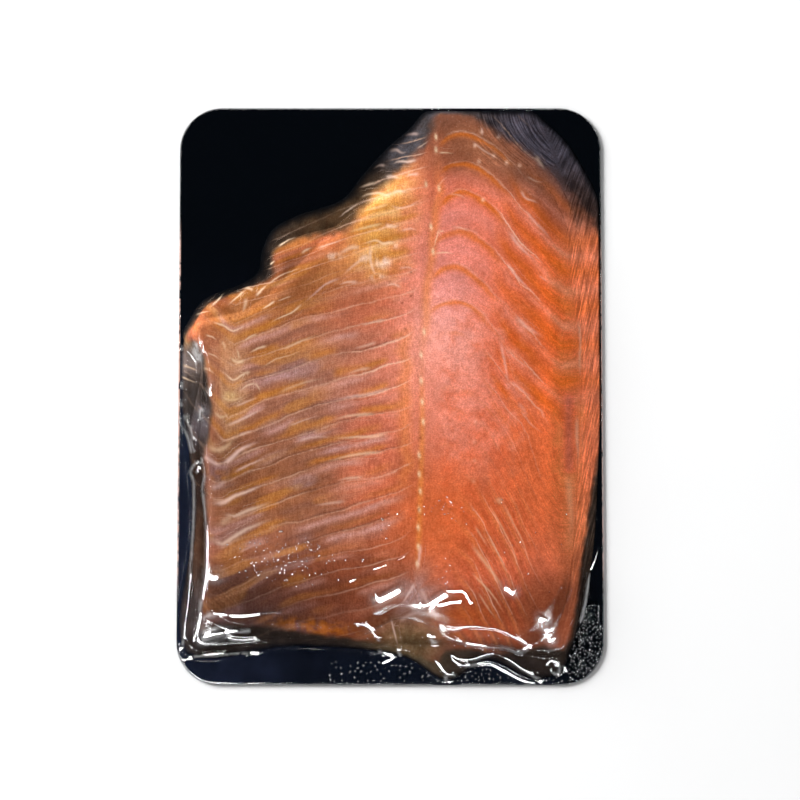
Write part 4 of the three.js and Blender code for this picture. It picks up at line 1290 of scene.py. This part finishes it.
def film_piece():
    w, hgt, r = CARD_W / 2 - 0.15, CARD_H / 2 - 0.15, CARD_R - 0.15
    loop = []
    for cx, cy, a0 in ((w - r, hgt - r, 0), (-w + r, hgt - r, 90), (-w + r, -hgt + r, 180), (w - r, -hgt + r, 270)):
        for a in np.radians(a0 + np.linspace(0, 90, 21)):
            loop.append((cx + r * math.cos(a), cy + r * math.sin(a)))
    loop = finer(np.array(loop), 1.0)
    p, q, x, y = lattice(0.3, -75, 75, -102.5, 102.5)
    keep = inside_card(x, y) > 0.5
    p, q, x, y = p[keep], q[keep], x[keep], y[keep]
    u, v = uv_of(x, y, 3.0)
    level = np.zeros(x.shape, int)
    margin = (x < -58) & (y < 40) | (y < -62) | (inside_card(x, y) < 6)
    level[margin] = 1
    for path, high, half, soft in CREASES:
        d, s = near_path(line_of(path), u, v, 16)
        level[d * UNIT < half * 1.6 + 0.8] = 2
    take = (level == 2) | ((level == 1) & (p % 2 == 0) & (q % 2 == 0)) | ((p % 4 == 0) & (q % 4 == 0))
    take &= (inside_card(x, y) > 0.75) | ((p % 2 == 0) & (q % 2 == 0))
    pts = np.stack([x[take], y[take]], 1)
    _, _, bx, by = lattice(1.8, -75, 75, -102.5, 102.5)
    keep = inside_card(bx, by) > 1.0
    low = np.stack([bx[keep], by[keep]], 1)
    tt, lt = triangulate(loop, pts), triangulate(loop, low)
    n, nt = len(loop), len(pts)
    ax = np.concatenate([loop[:, 0], pts[:, 0], low[:, 0]])
    ay = np.concatenate([loop[:, 1], pts[:, 1], low[:, 1]])
    hs = slice_heights(ax, ay)
    stack = sum(hs)
    rel = relief(ax, ay) * smooth(0, 1.0, stack)
    drawn = raster_at(film_grid, ax, ay)
    z = CARD_T + 0.05 + np.maximum(drawn + (FILM_T - 0.02) * smooth(0, 0.8, drawn), (stack + rel + 0.09) * (stack > 0.01))
    uu, vv = uv_of(ax, ay, z)
    ch, near, softness, veil = creases_at(uu, vv)
    rim = smooth(0.1, 1.6, inside_card(ax, ay) - 0.1)
    z = CARD_T + 0.05 + (z - CARD_T - 0.05) * rim + ch * smooth(0, 1.2, inside_card(ax, ay))
    z[:n] = CARD_T + 0.05
    z[n + nt:] = np.maximum(z[n + nt:] - 0.12, CARD_T + 0.01)
    lt = lt.copy()
    lt[lt >= n] += nt
    tris = np.concatenate([tt, lt[:, ::-1]])
    index = np.concatenate([np.zeros(len(tt)), np.ones(len(lt))])
    ob = make_mesh("film", np.stack([ax, ay, z], 1), tris, mats=[film_material(), film_material(True)], mat_index=index)
    co = np.stack([ax, ay, z], 1)
    lean = np.cross(co[tt[:, 1]] - co[tt[:, 0]], co[tt[:, 2]] - co[tt[:, 0]])
    normal = np.zeros(co.shape)
    for corner in range(3):
        np.add.at(normal, tt[:, corner], lean)
    slope = np.degrees(np.arctan2(np.hypot(normal[:, 0], normal[:, 1]), np.maximum(normal[:, 2], 1e-9)))
    put(ob, "haze", np.maximum(0.05 + 0.02 * near + softness, 0.36 * veil * (1 - near)))
    put(ob, "gloss", (0.012 + 0.40 * smooth(10, 4, slope) + 0.55 * veil) * (1 - near) + 3.6 * near * (1 + 6 * softness))
    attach(ob, "root")
    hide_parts("film_bag")
    return ob


film = film_piece()


# ---------------------------------------------------------------- beads of moisture, and air caught under the film
def film_top(x, y):
    hs = slice_heights(x, y)
    z = CARD_T + LIFT + np.maximum(raster_at(film_grid, x, y) + FILM_T, sum(hs) + relief(x, y) * smooth(0, 1.0, sum(hs)) + 0.10)
    uu, vv = uv_of(x, y, z)
    return z + creases_at(uu, vv)[0]


def domes(name, places, mat):
    """Low closed domes: (x, y, z, half length, half width, height, turn)."""
    rings, spokes = 3, 10
    co, tr = [], []
    for x, y, z, a, b, h, turn in places:
        k = len(co)
        ca, sa = math.cos(turn), math.sin(turn)
        co.append((x, y, z + h))
        for j in range(1, rings + 1):
            ang = j / rings * math.pi / 2
            for i in range(spokes):
                t = 2 * math.pi * i / spokes
                dx, dy = a * math.sin(ang) * math.cos(t), b * math.sin(ang) * math.sin(t)
                co.append((x + dx * ca - dy * sa, y + dx * sa + dy * ca, z + h * math.cos(ang)))
        co.append((x, y, z - 0.01))
        for i in range(spokes):
            i2 = (i + 1) % spokes
            tr.append((k, k + 1 + i, k + 1 + i2))
            for j in range(1, rings):
                p, q = k + 1 + (j - 1) * spokes, k + 1 + j * spokes
                tr += [(p + i, q + i, q + i2), (p + i, q + i2, p + i2)]
            e = k + 1 + (rings - 1) * spokes
            tr.append((k + 1 + rings * spokes, e + i2, e + i))
    ob = make_mesh(name, co, tr, mats=[mat])
    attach(ob, "root")
    return ob


rng = np.random.default_rng(7)
spots = []
for u0, v0, ru, rv, count, turn in (
        (288, 564, 50, 20, 130, 0.3), (392, 520, 16, 18, 14, 0.5), (452, 512, 22, 12, 26, 0.3), (446, 572, 10, 16, 16, 0.9),
        (500, 505, 3, 3, 3, 0.3), (300, 548, 26, 6, 14, 0.2), (265, 545, 12, 5, 8, 0.2), (540, 560, 30, 30, 8, 0.3)):
    for _ in range(count):
        uu, vv = u0 + ru * rng.normal() * 0.6, v0 + rv * rng.normal() * 0.6
        x, y = xy_of(uu, vv)
        x, y = x - (x - 3.1) * 6 / 698, y - (y + 48.6) * 6 / 698
        size = 0.10 + 0.15 * rng.random() ** 2
        spots.append((x, y, size * (1.0 + 1.2 * rng.random()), size, size * 0.55, turn + 0.5 * rng.normal()))
sx, sy = np.array([s[0] for s in spots]), np.array([s[1] for s in spots])
sz = film_top(sx, sy) - 0.03
domes("moisture", [(s[0], s[1], float(z), s[2], s[3], s[4], s[5]) for s, z in zip(spots, sz)],
      bead_material("water_beads", 1.8, 0.10, 2.4))

air = []
for u0, u1, v0, v1, count, apart in ((568, 603, 606, 682, 900, 0.80), (440, 568, 668, 684, 200, 1.1), (330, 440, 662, 683, 120, 1.3)):
    for _ in range(count):
        uu, vv = u0 + (u1 - u0) * rng.random(), v0 + (v1 - v0) * rng.random()
        x, y = xy_of(uu, vv)
        at = np.array([x]), np.array([y])
        if float(inside_card(*at)[0]) < 1.2 or float(sum(slice_heights(*at))[0]) > 0.02 or float(raster_at(film_grid, *at)[0]) > 1.0:
            continue
        if any((x - a[0]) ** 2 + (y - a[1]) ** 2 < apart**2 for a in air):
            continue
        s = 0.13 + 0.09 * rng.random()
        air.append((x, y, s * (1.1 + 1.6 * rng.random()), s, 0.03 + 0.05 * rng.random(), math.pi * rng.random()))
ax, ay = np.array([a[0] for a in air]), np.array([a[1] for a in air])
az = film_top(ax, ay) - 0.02
domes("air_bubbles", [(a[0], a[1], float(z), a[2], a[3], a[4], a[5]) for a, z in zip(air, az)],
      bead_material("air_bubbles", 1.45, 0.12, 1.05))

# ---------------------------------------------------------------- card
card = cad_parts["card"]
card.data.materials.clear()
card.data.materials.append(card_material())

# ---------------------------------------------------------------- floor, lights, camera
floor = make_mesh("floor", [(-4000, -4000, 0), (4000, -4000, 0), (4000, 4000, 0), (-4000, 4000, 0)], [(0, 1, 2), (0, 2, 3)], False)
fm, t = material("pale_floor")
s = t.add("ShaderNodeBsdfPrincipled")
t.link(t.mix(t.noise(t.place(), 60, 3), (0.725, 0.725, 0.725, 1), (0.745, 0.745, 0.745, 1)), s.inputs["Base Color"])
s.inputs["Roughness"].default_value = 0.9
s.inputs["Specular IOR Level"].default_value = 0.0
t.out(s.outputs[0])
floor.data.materials.append(fm)
floor.location.z = -0.00005


def area_light(name, azimuth, tilt, far, wide, high, radiance, colour=(1, 1, 1), aim=(0, 0, 0.003)):
    """A rectangular lamp. azimuth from +X in degrees, tilt from straight overhead."""
    data = bpy.data.lights.new(name, "AREA")
    data.shape = "RECTANGLE"
    data.size, data.size_y = wide, high
    data.energy = radiance * math.pi * wide * high
    data.color = colour
    ob = bpy.data.objects.new(name, data)
    a, b = math.radians(azimuth), math.radians(tilt)
    spot = Vector((math.sin(b) * math.cos(a), math.sin(b) * math.sin(a), math.cos(b))) * far
    ob.location = Vector(aim) + spot
    ob.rotation_euler = spot.to_track_quat("Z", "Y").to_euler()
    bpy.context.scene.collection.objects.link(ob)
    ob.visible_camera = False
    return ob


key = area_light("key", 150, 68, 2.6, 1.6, 1.6, 24.0)
key.visible_glossy = False
for i, (az, tilt) in enumerate(((188, 33), (216, 33), (244, 33), (272, 33), (300, 33), (328, 36))):
    strip = area_light(f"strip_{i}", az, tilt, 1.25, 0.42, 0.30, 38.0)
    strip.visible_diffuse = False
    strip.visible_transmission = False

world = bpy.data.worlds.new("studio")
bpy.context.scene.world = world
world.use_nodes = True
t = Tree(world.node_tree)
sky = t.add("ShaderNodeSeparateXYZ")
t.link(t.add("ShaderNodeTexCoord").outputs["Generated"], sky.inputs[0])
up = t.ramp(sky.outputs[2], 0.42, 0.72)
shade = t.mix(up, (1.0, 1.0, 1.0, 1), (0.01, 0.011, 0.015, 1))
bg = t.add("ShaderNodeBackground")
t.link(shade, bg.inputs[0])
bg.inputs[1].default_value = 1.5
wo = t.add("ShaderNodeOutputWorld")
t.link(bg.outputs[0], wo.inputs["Surface"])

cam_data = bpy.data.cameras.new("camera")
cam_data.sensor_width = 36.0
cam_data.lens = 89.0
cam_data.clip_start = 0.01
cam = bpy.data.objects.new("camera", cam_data)
target = Vector((3.4, -2.1, 0.0)) * MM
eye = Vector((3.4, -49.7, 698.4)) * MM
cam.location = eye
cam.rotation_euler = (eye - target).to_track_quat("Z", "Y").to_euler()
bpy.context.scene.collection.objects.link(cam)
bpy.context.scene.camera = cam
bpy.context.scene.view_settings.view_transform = "Standard"
bpy.context.scene.view_settings.look = "None"
